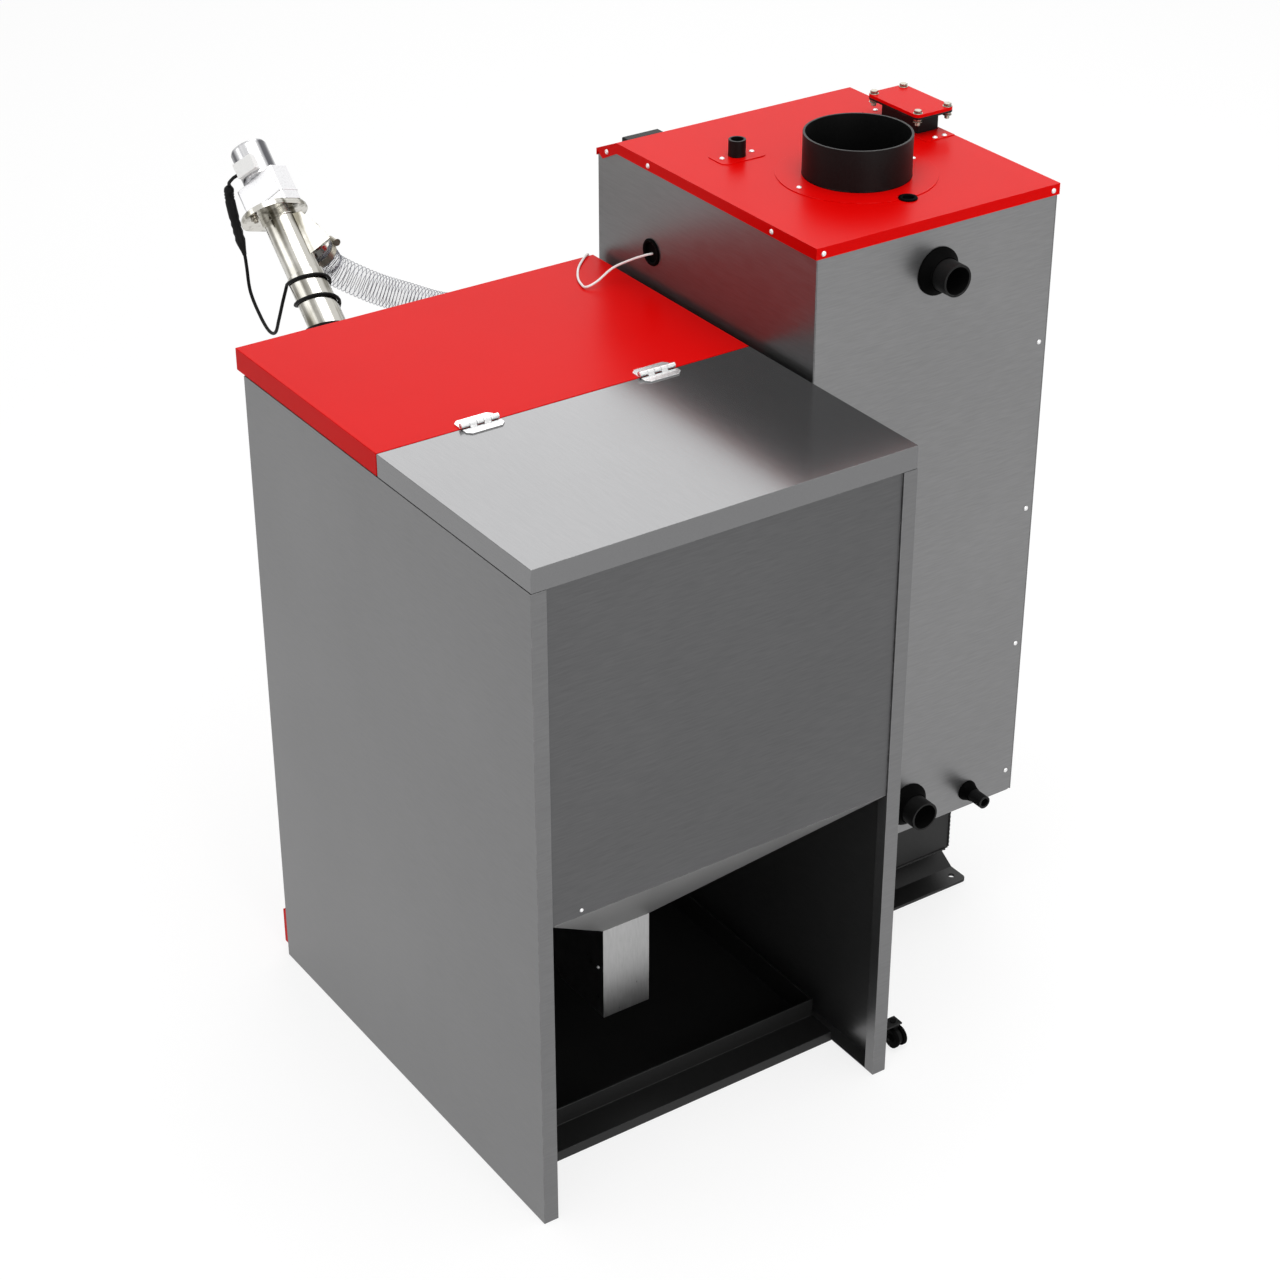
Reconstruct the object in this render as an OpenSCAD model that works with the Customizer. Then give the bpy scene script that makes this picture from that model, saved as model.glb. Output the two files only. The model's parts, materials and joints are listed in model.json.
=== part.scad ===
// Pellet boiler with its fuel hopper and inclined feed auger.
// Millimetres, +Z up. The origin is on the floor, in the middle of the boiler's four foot bolts.
// The fire doors face -Y, the water pipes face +Y and the hopper stands on the +X side.

/* [Boiler casing] */
// Width over the boiler's two side panels
casing_w = 431; // [420:1:520]
// Foot centre to the casing's front face
casing_front = 244; // [242:1:260]
// Foot centre to the casing's rear face
casing_rear = 294; // [292:1:330]
// Height of the casing's lower edge above the floor
casing_foot = 209; // [202:1:225]
// Height of the top cover above the floor
boiler_h = 1241; // [1232:1:1300]
// Sheet thickness
sheet_t = 2; // [1.5:0.1:2.5]
// Depth of the cover's turned-down edge
cover_lip = 17; // [14:1:20]
// Depth of the sloping hood in front of the cover
hood_run = 52; // [48:1:54]
// Drop of the hood from the cover to its front edge
hood_drop = 24; // [20:1:28]
// Width of the turned-in edges of the casing panels
fold_w = 18; // [14:1:22]

/* [Boiler body] */
// Gap between the shell's sides and the casing
side_gap = 26.5; // [24:0.5:30]
// Gap between the shell's ends and the casing's faces
end_gap = 32; // [30:1:38]
// Depth of the shell's top plate below the cover
top_gap = 29; // [25:1:41]
// Thickness of the water walls
wall_t = 37; // [33:1:38]
// Height of the shell's lower edge
base_top = 200; // [196:1:201]
// Half of the ash base's depth
base_half_d = 185; // [180:1:188]
// Clearance of the ash base above the floor
base_floor = 42; // [40:1:46]
// Firebox floor height
fire_floor = 260; // [250:1:264]
// Firebox ceiling height
fire_top = 600; // [590:1:640]
// Bore of the smoke tubes
tube_d = 52; // [44:1:54]
// Height of the smoke box
smoke_h = 320; // [314:1:330]
// Depth of the smoke box ceiling below the shell's top
roof_t = 42; // [32:1:52]

/* [Feet] */
// Spacing of the foot bolts from side to side
foot_bolt_x = 352; // [340:1:356]
// Spacing of the foot bolts from front to rear
foot_bolt_y = 422; // [418:1:426]
// Diameter of the foot bolt holes
foot_hole_d = 11; // [9:1:12]
// Width of the flat part of a foot
foot_flat = 40; // [38:1:44]
// Thickness of the foot plates
foot_t = 5; // [4:0.5:6]
// Length of the foot plates from side to side
foot_w = 385; // [380:1:392]

/* [Flue and pipes] */
// Flue collar outer diameter
flue_d = 159; // [150:1:160]
// Foot centre to the flue
flue_y = 104; // [98:1:110]
// Height of the flue collar above the cover
flue_h = 63; // [50:1:80]
// Flue collar wall
flue_t = 3.5; // [3:0.5:5]
// Flow and return pipes outer diameter
pipe_d = 48.3; // [42:0.1:50]
// Water pipes wall
pipe_t = 3.4; // [2.6:0.1:4]
// Length of the pipes behind the casing
pipe_out = 44; // [36:1:70]
// Depth of the flow pipe below the cover
flow_drop = 84; // [81:1:101]
// Return pipe height
return_z = 259; // [256:1:290]
// Drain pipe outer diameter
drain_d = 21.3; // [17:0.1:24]
// Distance of the drain pipe from the middle
drain_x = 122; // [105:1:150]
// Drain pipe height
drain_z = 240; // [236:1:250]
// Safety nipple outer diameter
nipple_d = 26; // [22:0.5:28]
// Distance of the safety nipple from the middle
nipple_x = 101; // [96:1:120]
// Foot centre to the safety nipple
nipple_y = 50; // [40:1:60]
// Height of the safety nipple above the cover
nipple_h = 26; // [20:1:40]
// Rise of the duct cover above the top cover
duct_h = 37; // [30:1:45]
// Duct neck width
duct_w = 40; // [36:1:42]
// Duct neck length
duct_l = 88; // [80:1:100]
// Overhang of the duct cover past its neck
duct_over = 16; // [15:1:18]

/* [Doors and drawer] */
// Cleaning door width
door_w = 340; // [330:1:350]
// Cleaning door height
door_h = 170; // [166:1:180]
// Depth of the middle of the cleaning door below the cover
door_drop = 305; // [301:1:309]
// Depth of the door in front of the casing
door_t = 16; // [14:1:20]
// Diameter of the door's hinge pins
door_pin_d = 6; // [5:0.5:7]
// Inner width of the ash chamber
ash_w = 300; // [280:1:310]
// Height of the ash drawer's box
drawer_h = 105; // [80:1:108]

/* [Burner] */
// Height of the burner's axis
burner_z = 430; // [420:1:440]
// Burner tube outer diameter
burner_d = 130; // [110:1:132]
// Burner housing width
burner_w = 190; // [170:1:200]
// Burner housing height
burner_h = 240; // [220:1:250]
// Burner housing depth
burner_l = 290; // [270:1:320]
// Diameter of the fan opening in the burner housing
fan_d = 116; // [100:1:124]
// Length of the inlet pipe above the burner housing
inlet_h = 60; // [54:1:70]

/* [Controls] */
// Controller width
control_w = 170; // [150:1:200]
// Controller height
control_h = 96; // [84:1:104]
// Diameter of the controller's knob
knob_d = 32; // [26:1:36]
// Switch module width
switch_w = 66; // [56:1:70]

/* [Hopper] */
// Gap between the boiler's cover and the hopper
hopper_gap = 9; // [6:1:20]
// Width over the hopper's side panels
hopper_w = 608; // [590:1:640]
// Height of the hopper's lid above the floor
hopper_h = 1050; // [1040:1:1090]
// Foot centre to the hopper's rear edge
hopper_rear = 542; // [530:1:550]
// Depth of the hopper's side panels
hopper_d = 761; // [750:1:775]
// Thickness of the folded side panels
side_t = 23.5; // [20:0.5:26]
// Overhang of the lid in front of the side panels
lid_over = 23; // [16:1:26]
// Depth of the lid's turned-down edge
lid_lip = 34; // [30:1:38]
// Depth of the hinged rear half of the lid
rear_lid_d = 381; // [360:1:400]
// Height where the bin's walls end and its funnel starts
bin_floor = 503; // [495:1:520]
// Width of the well below the funnel
well_w = 82; // [76:1:90]
// Height of the mouth of the well
well_top = 250; // [240:1:260]
// Height of the bottom of the well
well_floor = 90; // [80:1:94]
// Hopper's rear edge to the well
well_back = 246; // [238:1:250]
// Height of the plinth's top edge
plinth_top = 76; // [70:1:84]
// Height of the dust tray above the hopper's floor frame
tray_h = 30; // [20:1:40]

/* [Lid hinges] */
// Width of a hinge along its pin
hinge_w = 60; // [54:1:70]
// Depth of one hinge leaf
leaf_d = 22; // [20:1:30]
// Distance of a hinge from the middle of the hopper
hinge_x = 144; // [120:1:180]
// Hinge knuckles outer diameter
knuckle_d = 8; // [7:0.5:8.5]
// Hinge pins diameter
lid_pin_d = 4; // [3:0.5:4.5]

/* [Caster] */
// Caster's swivel to the hopper's side
caster_out = 50; // [44:1:60]
// Diameter of the caster's wheels
caster_d = 32; // [28:1:33]
// Height of the arm that carries the caster
caster_arm_z = 37; // [36:1:48]

/* [Auger] */
// Slope of the auger above the horizontal
auger_slope = 42.5; // [42:0.1:43]
// Auger tube outer diameter
auger_d = 60; // [58:1:62]
// Outer diameter of the tube's outlet piece
auger_neck_d = 55; // [53:1:56]
// Auger tube wall
auger_wall = 2; // [1.5:0.5:2.5]
// Auger screw diameter
screw_d = 48; // [44:1:48]
// Diameter of the screw's shaft
shaft_d = 18; // [16:1:20]
// Pitch of the screw's flight
screw_pitch = 50; // [44:1:60]
// Reach of the auger's outlet in front of the hopper
auger_reach = 384; // [376:1:392]
// Height of the auger's outlet mark
auger_z = 953; // [945:1:960]
// Gearbox width
gear_w = 40; // [36:1:46]
// Gearbox length
gear_l = 85; // [78:1:90]
// Height of the gearbox along the auger
gear_h = 60; // [54:1:64]
// Drive motor diameter
motor_d = 60; // [56:1:64]
// Drive motor length
motor_l = 58; // [50:1:66]

/* [Hose and cables] */
// Outer diameter of the pellet hose over its wire
hose_d = 52; // [52:0.5:54]
// Number of wire turns along the hose
hose_ribs = 88; // [60:1:100]
// Motor cable diameter
motor_cable_d = 5.5; // [5:0.1:6]
// Thin sensor cable diameter
sensor_cable_d = 3.6; // [3:0.1:3.8]

/* [Hidden] */
$fn = 64;

// Clearances and overruns that many pieces share
cut = 10;
seat_gap = 0.3;
pin_gap = 0.05;
play = 5;

// Casing places
casing_hw = casing_w / 2;
inner_hw = casing_hw - sheet_t;
cover_hw = casing_hw + sheet_t;
cover_y0 = -casing_front + hood_run;
cover_y1 = casing_rear + sheet_t;
cover_low = boiler_h - sheet_t;
hood_y = -casing_front - sheet_t;
hood_low = boiler_h - hood_drop;
panel_top = hood_low - sheet_t - seat_gap;

// Body places
body_hw = inner_hw - side_gap;
body_front = casing_front - end_gap;
body_rear = casing_rear - end_gap;
body_top = boiler_h - top_gap;
smoke_top = body_top - roof_t;
smoke_floor = smoke_top - smoke_h;
fire_hw = body_hw - wall_t;
ash_ceiling = base_top - 0.5 * wall_t;
ash_floor = base_floor + 0.5 * wall_t;
ash_depth = base_half_d - wall_t;
fire_hole_d = burner_d + 4 * play;
throat_share = 0.8;
tube_gap = 20;
tube_pitch = tube_d + tube_gap;
tube_y = 0.5 * (body_rear - body_front);
smoke_columns = 4;
smoke_rows = 2;
wool_gap = 0.5;

// Foot places
foot_y = foot_bolt_y / 2;
bend_y = foot_y - foot_flat / 2;
foot_slope = 33;
foot_rise = base_floor - foot_t;

// Pipe places
flow_z = boiler_h - flow_drop;
sleeve_wall = 8;
sleeve_l = 6;
drain_sleeve_wall = 3;
flue_hole_gap = 2.5;
nipple_gap = 1;
sensor_hole_d = 22;
sensor_hole_y = 221;
cable_hole_d = 36;
cable_hole_y = -102;
cable_hole_z = boiler_h - 142;
grommet_lip = 2.5;
grommet_wall = 3;
duct_x = -(cover_hw - play - duct_w / 2);
duct_y = -15;
neck_t = 3;
duct_t = 5;
bolt_d = 8;
nut_t = 5;
duct_hole_gap = 1.5;
tab_t = 8;
rosette_t = 1.2;

// Cleaning door places
door_z = boiler_h - door_drop;
door_hw = door_w / 2;
neck_hw = door_hw - 4 * play;
neck_hh = door_h / 2 - 4 * play;
hole_hw = neck_hw - 2 * play;
hole_hh = neck_hh - play;
plug_hw = hole_hw - 1.6 * play;
plug_hh = hole_hh - 0.6 * play;
plug_t = 12;
door_gap = 2;
door_face_y = -casing_front - door_gap - door_t;
door_back_y = -casing_front - door_gap;
seal_t = 5;
pin_x = -door_hw - 0.6 * door_t;
pin_y = door_face_y + 0.4 * door_t;
barrel_d = 14;
barrel_l = 24;
barrel_z = 0.3 * door_h;
ear_t = 6;

// Ash drawer places
drawer_wall = 2;
drawer_hw = ash_w / 2 - play;
drawer_front_t = 5;
drawer_d = base_half_d + ash_depth - 2.6 * play;
grip_out = 34;
door_grip_d = 13;
ash_grip_d = 12;
drawer_y = -base_half_d - seat_gap - drawer_front_t;

// Burner places
plate_side = burner_d + 20 * play;
plate_t = 10;
plate_y = -body_front - plate_t;
housing_y = plate_y - burner_l;
housing_floor = burner_z - 0.38 * burner_h;
housing_top = housing_floor + burner_h;
housing_wall = 2.5;
housing_r = 12;
burner_wall = 5;
burner_in = 110;
inlet_y = housing_y + 0.25 * burner_l;
spigot_d = 44;
spigot_wall = 2;
spigot_l = 26;
shoulder_d = 56;
fan_z = burner_z;
fan_hub_d = 34;
fan_blades = 7;
fan_l = 26;
fan_shaft_d = 8;
fan_gap = 4;
guard_t = 3;

// Controller places
control_x = -45;
control_z = boiler_h - 123;
control_back_y = -body_front - door_gap;
control_out = 14;
knob_x = control_x + 0.34 * control_w;
knob_l = 14;
knob_shaft_d = 8;
key_d = 12;
key_travel = 1.5;
key_z = control_z - 0.28 * control_h;
switch_x = 128;
switch_t = 16;
rocker_w = 18;
rocker_l = 26;
rocker_sink = 5;

// Hopper places
hx0 = cover_hw + hopper_gap;
hx1 = hx0 + hopper_w;
hopper_x = (hx0 + hx1) / 2;
hopper_y0 = hopper_rear - hopper_d;
lid_low = hopper_h - lid_lip;
side_top = lid_low - seat_gap;
seam_y = hopper_rear - rear_lid_d;
seam_gap = 1.5;
side_lip = 20;
bin_hw = hopper_w / 2 - side_t - seat_gap;
bin_y1 = hopper_rear - 1.5 * sheet_t;
bin_y0 = hopper_y0 + 2 * sheet_t;
well_y1 = hopper_rear - well_back;
well_flat_share = 0.45;
well_len = bin_floor - well_top;
well_y0 = bin_y0 + well_len + 0.35 * play;
plinth_low = 14;
plinth_out = 19;
tray_rail = 50;
tray_rail_h = 17;
tray_back = 101;
tray_y1 = hopper_rear - tray_back;
tray_wall = 3;

// Lid hinge places
hinge_pin_z = hopper_h + knuckle_d / 2 + 2 * seat_gap;
leaf_t = 2;
knuckle_gap = 0.4;

// Caster places
caster_x = hx0 - caster_out;
caster_in = 46;
caster_y = hopper_rear - caster_in;
caster_trail = 8;
caster_arm_t = 3;
caster_stem_d = 10;
caster_wheel_w = 7;
caster_hub_gap = 0.5;
caster_axle_d = 5;
caster_lift = 0.3;

// Auger places. Lengths along the auger start from the outlet mark on its axis.
auger_tilt = 90 - auger_slope;
auger_mark = [hopper_x, hopper_y0 - auger_reach, auger_z];
auger_dir = [0, -cos(auger_slope), sin(auger_slope)];
auger_up = [0, sin(auger_slope), cos(auger_slope)];
auger_inset = 24;
auger_foot_y = well_y1 - auger_inset;
auger_low = -(auger_foot_y - auger_mark[1]) / cos(auger_slope);
front_s = -auger_reach / cos(auger_slope);
auger_high = 114;
foot_cap_t = 4;
screw_low = auger_low + 1.5 * foot_cap_t;
neck_s = 8;
inlet_l = 150;
spout_s = 73;
spout_out = 28;
flight_end = spout_s + shaft_d;
spout_drop = 55;
spout_dir = [-cos(spout_drop), 0, -sin(spout_drop)];
spout_start = auger_mark + spout_s * auger_dir - [spout_out, 0, 0];
spout_l = 29;
spout_end = spout_start + spout_l * spout_dir;
flange_t = 10;
flange_a = 60;
flange_b = 44;
flange_shift = 8;
head_turn = 25;
gear_low = auger_high + flange_t;
motor_low = gear_low + gear_h;
motor_high = motor_low + motor_l;
box_turn = 38;
box_w = 36;
box_h = 40;
box_t = 9;
collar_wall = 6;
collar_hole_d = auger_d + 2 * collar_wall + 2 * seat_gap;
collar_l = 26;

// Route of the pellet hose, from the auger's outlet to the burner's inlet
hose_inner_d = 48.6;
hose_route = [
  spout_end, spout_end + 0.5 * hose_d * spout_dir, spout_end + 1.02 * hose_d * spout_dir,
  [399, -635, 898], [348, -615, 874], [293, -596, 850], [236, -576, 841], [180, -550, 836],
  [128, -520, 822], [82, -490, 804], [40, -462, 774], [10, -446, 735]
];

// Cords go along routes of points chosen by hand
wrap_turns = 3;
wrap_pitch = 35;
wrap_gap = 0.4;
wrap_r = auger_d / 2 + motor_cable_d / 2 + wrap_gap;
wrap_start_s = 4;
wrap_start_turn = -25;
cable_ring_sides = 8;

// Shared shapes
module bar(low, high) {
  translate(low)
    cube(high - low);
}

module tube_z(outer, bore, low, high) {
  difference() {
    translate([0, 0, low])
      cylinder(d = outer, h = high - low);
    translate([0, 0, low - cut])
      cylinder(d = bore, h = high - low + 2 * cut);
  }
}

// A rod along Y from one place to another
module rod_y(d, from_y, to_y) {
  translate([0, from_y, 0])
    rotate([-90, 0, 0])
      cylinder(d = d, h = to_y - from_y);
}

// A rod along X from one place to another
module rod_x(d, from_x, to_x) {
  translate([from_x, 0, 0])
    rotate([0, 90, 0])
      cylinder(d = d, h = to_x - from_x);
}

// A flat plate with round corners, in the XY plane, from true arcs
module round_plate(w, l, r, t) {
  linear_extrude(t)
    round_rect(w, l, r);
}

module round_rect(w, l, r) {
  square([w - 2 * r, l], center = true);
  square([w, l - 2 * r], center = true);
  for (x = [-1, 1], y = [-1, 1])
    translate([x * (w / 2 - r), y * (l / 2 - r)])
      circle(r = r);
}

// A profile drawn in Y and Z, drawn out along X
module along_x(from_x, to_x) {
  translate([from_x, 0, 0])
    rotate([90, 0, 90])
      linear_extrude(to_x - from_x)
        children();
}

// Puts its children on the auger's axis, with their Z along it
module on_auger(s) {
  translate(auger_mark)
    rotate([auger_tilt, 0, 0])
      translate([0, 0, s])
        children();
}

// Turns a piece's Z to the direction of the outlet spout
module along_spout(from_l) {
  translate(spout_start)
    rotate([0, -(90 + spout_drop), 0])
      translate([0, 0, from_l])
        children();
}

// A low domed screw head on a face, turned outwards
module screw_head(place, d, turn) {
  translate(place)
    rotate(turn) {
      cylinder(d = d, h = 0.14 * d);
      translate([0, 0, 0.14 * d])
        cylinder(d1 = d, d2 = 0.6 * d, h = 0.14 * d);
    }
}

// Path functions for the hose and the cords
function spline(a, b, c, d, t) =
  0.5 * (2 * b + (c - a) * t + (2 * a - 5 * b + 4 * c - d) * t * t + (3 * b - a - 3 * c + d) * t * t * t);

function smooth(route, steps) = [
  for (i = [0:len(route) - 2], k = [0:steps - 1])
    spline(route[max(i - 1, 0)], route[i], route[i + 1], route[min(i + 2, len(route) - 1)], k / steps),
  route[len(route) - 1]
];

function unit(v) = v / norm(v);

function heading(path, i) = unit(path[min(i + 1, len(path) - 1)] - path[max(i - 1, 0)]);

function square_to(v, axis) = unit(v - (v * axis) * axis);

// Side vectors that turn as little as they can from ring to ring
function sides_of(path, first) = [
  for (i = 0, v = square_to(first, heading(path, 0));
    i < len(path);
    i = i + 1, v = square_to(v, heading(path, min(i, len(path) - 1))))
    v
];

function rings(path, radii, sides, first) =
  let (v = sides_of(path, first))
  [
    for (i = [0:len(path) - 1], k = [0:sides - 1])
      let (h = heading(path, i), a = 360 * k / sides)
      path[i] + radii[i] * (cos(a) * v[i] + sin(a) * cross(h, v[i]))
  ];

function wall_faces(n, sides, base, out) = [
  for (i = [0:n - 2], k = [0:sides - 1])
    let (
      a = base + i * sides + k,
      b = base + i * sides + (k + 1) % sides,
      c = b + sides,
      d = a + sides
    )
    each out ? [[a, c, b], [a, d, c]] : [[a, b, c], [a, c, d]]
];

// Sweeps a four-sided outline round Z, ring by ring, by a turn and a rise
module helix(outline, turn, rise, n) {
  points = [
    for (i = [0:n], p = outline)
      [
        p[0] * cos(i * turn) - p[1] * sin(i * turn),
        p[0] * sin(i * turn) + p[1] * cos(i * turn),
        p[2] + i * rise
      ]
  ];
  caps = [[0, 1, 2, 3], [for (k = [3:-1:0]) n * 4 + k]];
  polyhedron(points, concat(caps, wall_faces(n + 1, 4, 0, true)), convexity = 10);
}

// Sweeps a cord along rows of X, Y, Z and diameter
module cord(rows, sides, first) {
  n = len(rows);
  path = [for (r = rows) [r[0], r[1], r[2]]];
  caps = [
    [for (k = [0:sides - 1]) k],
    [for (k = [sides - 1:-1:0]) (n - 1) * sides + k]
  ];
  polyhedron(rings(path, [for (r = rows) r[3] / 2], sides, first),
    concat(caps, wall_faces(n, sides, 0, true)), convexity = 10);
}

function least_gap(path, apart, d) =
  min([
    for (i = [0:len(path) - 1])
      for (j = [i + apart:1:len(path) - 1])
        norm(path[i] - path[j])
  ]) - d;

// Welded water shell with its ash base: firebox, smoke tubes, smoke box and ash chamber
module boiler_body() {
  color("#262626")
    difference() {
      union() {
        bar([-body_hw, -body_front, base_top], [body_hw, body_rear, body_top]);
        bar([-body_hw, -base_half_d, base_floor], [body_hw, base_half_d, base_top]);
        bar([duct_x - duct_w / 2, duct_y - duct_l / 2, body_top - tab_t],
          [-body_hw + cut, duct_y + duct_l / 2, body_top]);
        door_ears();
      }
      bar([-fire_hw, -body_front + wall_t, fire_floor], [fire_hw, body_rear - wall_t, fire_top]);
      bar([-fire_hw, -body_front + wall_t, smoke_floor], [fire_hw, body_rear - wall_t, smoke_top]);
      tube_places()
        cylinder(d = tube_d, h = smoke_floor - fire_top + 2 * cut);
      translate([0, 0, burner_z])
        rod_y(fire_hole_d, -body_front - cut, -body_front + wall_t + cut);
      bar([-hole_hw, -body_front - cut, door_z - hole_hh],
        [hole_hw, -body_front + wall_t + cut, door_z + hole_hh]);
      translate([0, flue_y, smoke_top - cut])
        cylinder(d = flue_d - 2 * flue_t - 2 * play, h = body_top - smoke_top + 2 * cut);
      bar([-ash_w / 2, -base_half_d - cut, ash_floor], [ash_w / 2, ash_depth, ash_ceiling]);
      bar([-throat_share * fire_hw, -throat_share * ash_depth, ash_ceiling - cut],
        [throat_share * fire_hw, throat_share * ash_depth, fire_floor + cut]);
    }
}

module tube_places() {
  for (i = [0:smoke_columns - 1], j = [0:smoke_rows - 1])
    translate([
      (i - (smoke_columns - 1) / 2) * tube_pitch,
      tube_y + (j - (smoke_rows - 1) / 2) * 1.6 * tube_pitch,
      fire_top - cut
    ])
      children();
}

// Pairs of ears that carry the door's hinge pins
module door_ears() {
  for (side = [-1, 1], end = [-1, 1])
    translate([0, 0, door_z + side * barrel_z])
      difference() {
        union() {
          translate([pin_x, pin_y, ear_low(end)])
            cylinder(d = barrel_d, h = ear_t);
          bar([pin_x - barrel_d / 2, pin_y, ear_low(end)],
            [pin_x + barrel_d / 2, -body_front + cut, ear_low(end) + ear_t]);
        }
        translate([pin_x, pin_y, ear_low(end) - cut])
          cylinder(d = door_pin_d, h = ear_t + 2 * cut);
      }
}

function ear_low(end) = end > 0 ? barrel_l / 2 + seat_gap : -barrel_l / 2 - seat_gap - ear_t;

// Bent steel feet under the front and the rear of the ash base
module boiler_feet() {
  color("#1b1b1b")
    for (side = [0, 1])
      mirror([0, side, 0])
        difference() {
          along_x(-foot_w / 2, foot_w / 2)
            foot_profile();
          for (x = [-1, 1])
            translate([x * foot_bolt_x / 2, foot_y, -cut])
              cylinder(d = foot_hole_d, h = foot_t + 2 * cut);
        }
}

module foot_profile() {
  run = foot_rise / tan(foot_slope);
  thick = foot_t / cos(foot_slope);
  polygon([
    [bend_y + foot_flat, 0],
    [bend_y + foot_flat, foot_t],
    [bend_y, foot_t],
    [bend_y - run, foot_t + foot_rise],
    [bend_y - run - foot_flat / 2, foot_t + foot_rise],
    [bend_y - run - foot_flat / 2, foot_rise],
    [bend_y - run, foot_t + foot_rise - thick],
    [bend_y - foot_t / 2, 0]
  ]);
}

// Mineral wool wrapped round the sides and the rear of the shell
module insulation() {
  wool_low = casing_foot + 2 * play;
  wool_high = body_top - 2 * play;
  color("#c9b458")
    difference() {
      bar([-inner_hw + wool_gap, -body_front + 2 * play, wool_low],
        [inner_hw - wool_gap, casing_rear - 2 * sheet_t - wool_gap, wool_high]);
      bar([-body_hw - wool_gap, -body_front - cut, wool_low - cut],
        [body_hw + wool_gap, body_rear + wool_gap, wool_high + cut]);
      rear_pipe_places(wool_gap, 0);
      translate([0, cable_hole_y, cable_hole_z])
        rod_x(cable_hole_d, body_hw - cut, casing_hw + cut);
    }
}

// Holes for the three rear pipes, each wider than its pipe by a gap and a sleeve
module rear_pipe_places(gap, sleeve) {
  for (z = [flow_z, return_z])
    translate([0, 0, z])
      rod_y(pipe_d + 2 * gap + 2 * sleeve * sleeve_wall, body_rear - cut, casing_rear + cut);
  translate([-drain_x, 0, drain_z])
    rod_y(drain_d + 2 * gap + 2 * sleeve * drain_sleeve_wall, body_rear - cut, casing_rear + cut);
}

// One side panel, drawn for the +X side: a sheet with a top edge and turned-in edges
module casing_side() {
  along_x(inner_hw, casing_hw)
    polygon([
      [-casing_front, casing_foot],
      [casing_rear, casing_foot],
      [casing_rear, cover_low],
      [cover_y0, cover_low],
      [-casing_front, hood_low - sheet_t]
    ]);
  bar([inner_hw - fold_w, -casing_front + sheet_t, casing_foot],
    [inner_hw, -casing_front + 2 * sheet_t, panel_top]);
  bar([inner_hw - fold_w, casing_rear - 2 * sheet_t, casing_foot],
    [inner_hw, casing_rear - sheet_t, cover_low]);
}

module casing_left_side() {
  color("#85868a")
    mirror([1, 0, 0])
      casing_side();
}

module casing_right_side() {
  color("#85868a")
    difference() {
      casing_side();
      translate([0, cable_hole_y, cable_hole_z])
        rod_x(cable_hole_d, inner_hw - cut, casing_hw + cut);
    }
}

module casing_rear() {
  color("#85868a")
    difference() {
      bar([-inner_hw, casing_rear - sheet_t, casing_foot], [inner_hw, casing_rear, cover_low]);
      rear_pipe_places(seat_gap, 1);
    }
}

// Front panel with openings for the door, the burner, the controller and the hinge ears
module casing_front() {
  color("#85868a")
    difference() {
      bar([-inner_hw, -casing_front, casing_foot], [inner_hw, -casing_front + sheet_t, panel_top]);
      bar([-neck_hw - play, -casing_front - cut, door_z - neck_hh - play],
        [neck_hw + play, -body_front, door_z + neck_hh + play]);
      bar([-plate_side / 2 - play, -casing_front - cut, burner_z - plate_side / 2 - play],
        [plate_side / 2 + play, -body_front, housing_top + play]);
      bar([control_x - control_w / 2 + play, -casing_front - cut, control_z - control_h / 2 + play],
        [control_x + control_w / 2 - play, -body_front, control_z + control_h / 2 - play]);
      for (side = [-1, 1])
        bar([pin_x - barrel_d, -casing_front - cut, ear_slot(side, -1)],
          [pin_x + barrel_d, -body_front, ear_slot(side, 1)]);
    }
}

function ear_slot(side, end) =
  door_z + side * barrel_z + end * (barrel_l / 2 + ear_t + 2 * seat_gap);

// Red top cover with its turned-down edges and the sloping hood
module top_cover() {
  color("#dd3b3b")
    difference() {
      union() {
        bar([-cover_hw, cover_y0, cover_low], [cover_hw, cover_y1, boiler_h]);
        for (x = [-cover_hw, cover_hw - sheet_t])
          along_x(x, x + sheet_t)
            polygon([
              [cover_y0, boiler_h],
              [hood_y, hood_low],
              [hood_y, hood_low - sheet_t],
              [hood_y + cover_lip, hood_low - 0.7 * cover_lip],
              [cover_y0, boiler_h - cover_lip],
              [cover_y1, boiler_h - cover_lip],
              [cover_y1, boiler_h]
            ]);
        bar([-cover_hw, casing_rear, boiler_h - cover_lip], [cover_hw, cover_y1, boiler_h]);
        along_x(-cover_hw, cover_hw)
          polygon([
            [cover_y0, boiler_h],
            [hood_y, hood_low],
            [hood_y, hood_low - 0.6 * cover_lip],
            [-casing_front, hood_low - 0.6 * cover_lip],
            [-casing_front, hood_low - sheet_t],
            [cover_y0, cover_low]
          ]);
      }
      translate([0, flue_y, cover_low - cut])
        cylinder(d = flue_d + 2 * flue_hole_gap, h = sheet_t + 2 * cut);
      translate([nipple_x, -nipple_y, cover_low - cut])
        cylinder(d = nipple_d + 2 * nipple_gap, h = sheet_t + 2 * cut);
      translate([0, sensor_hole_y, cover_low - cut])
        cylinder(d = sensor_hole_d, h = sheet_t + 2 * cut);
      translate([duct_x, duct_y, cover_low - cut])
        round_plate(duct_w + 2 * duct_hole_gap, duct_l + 2 * duct_hole_gap, neck_t, sheet_t + 2 * cut);
    }
}

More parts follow.
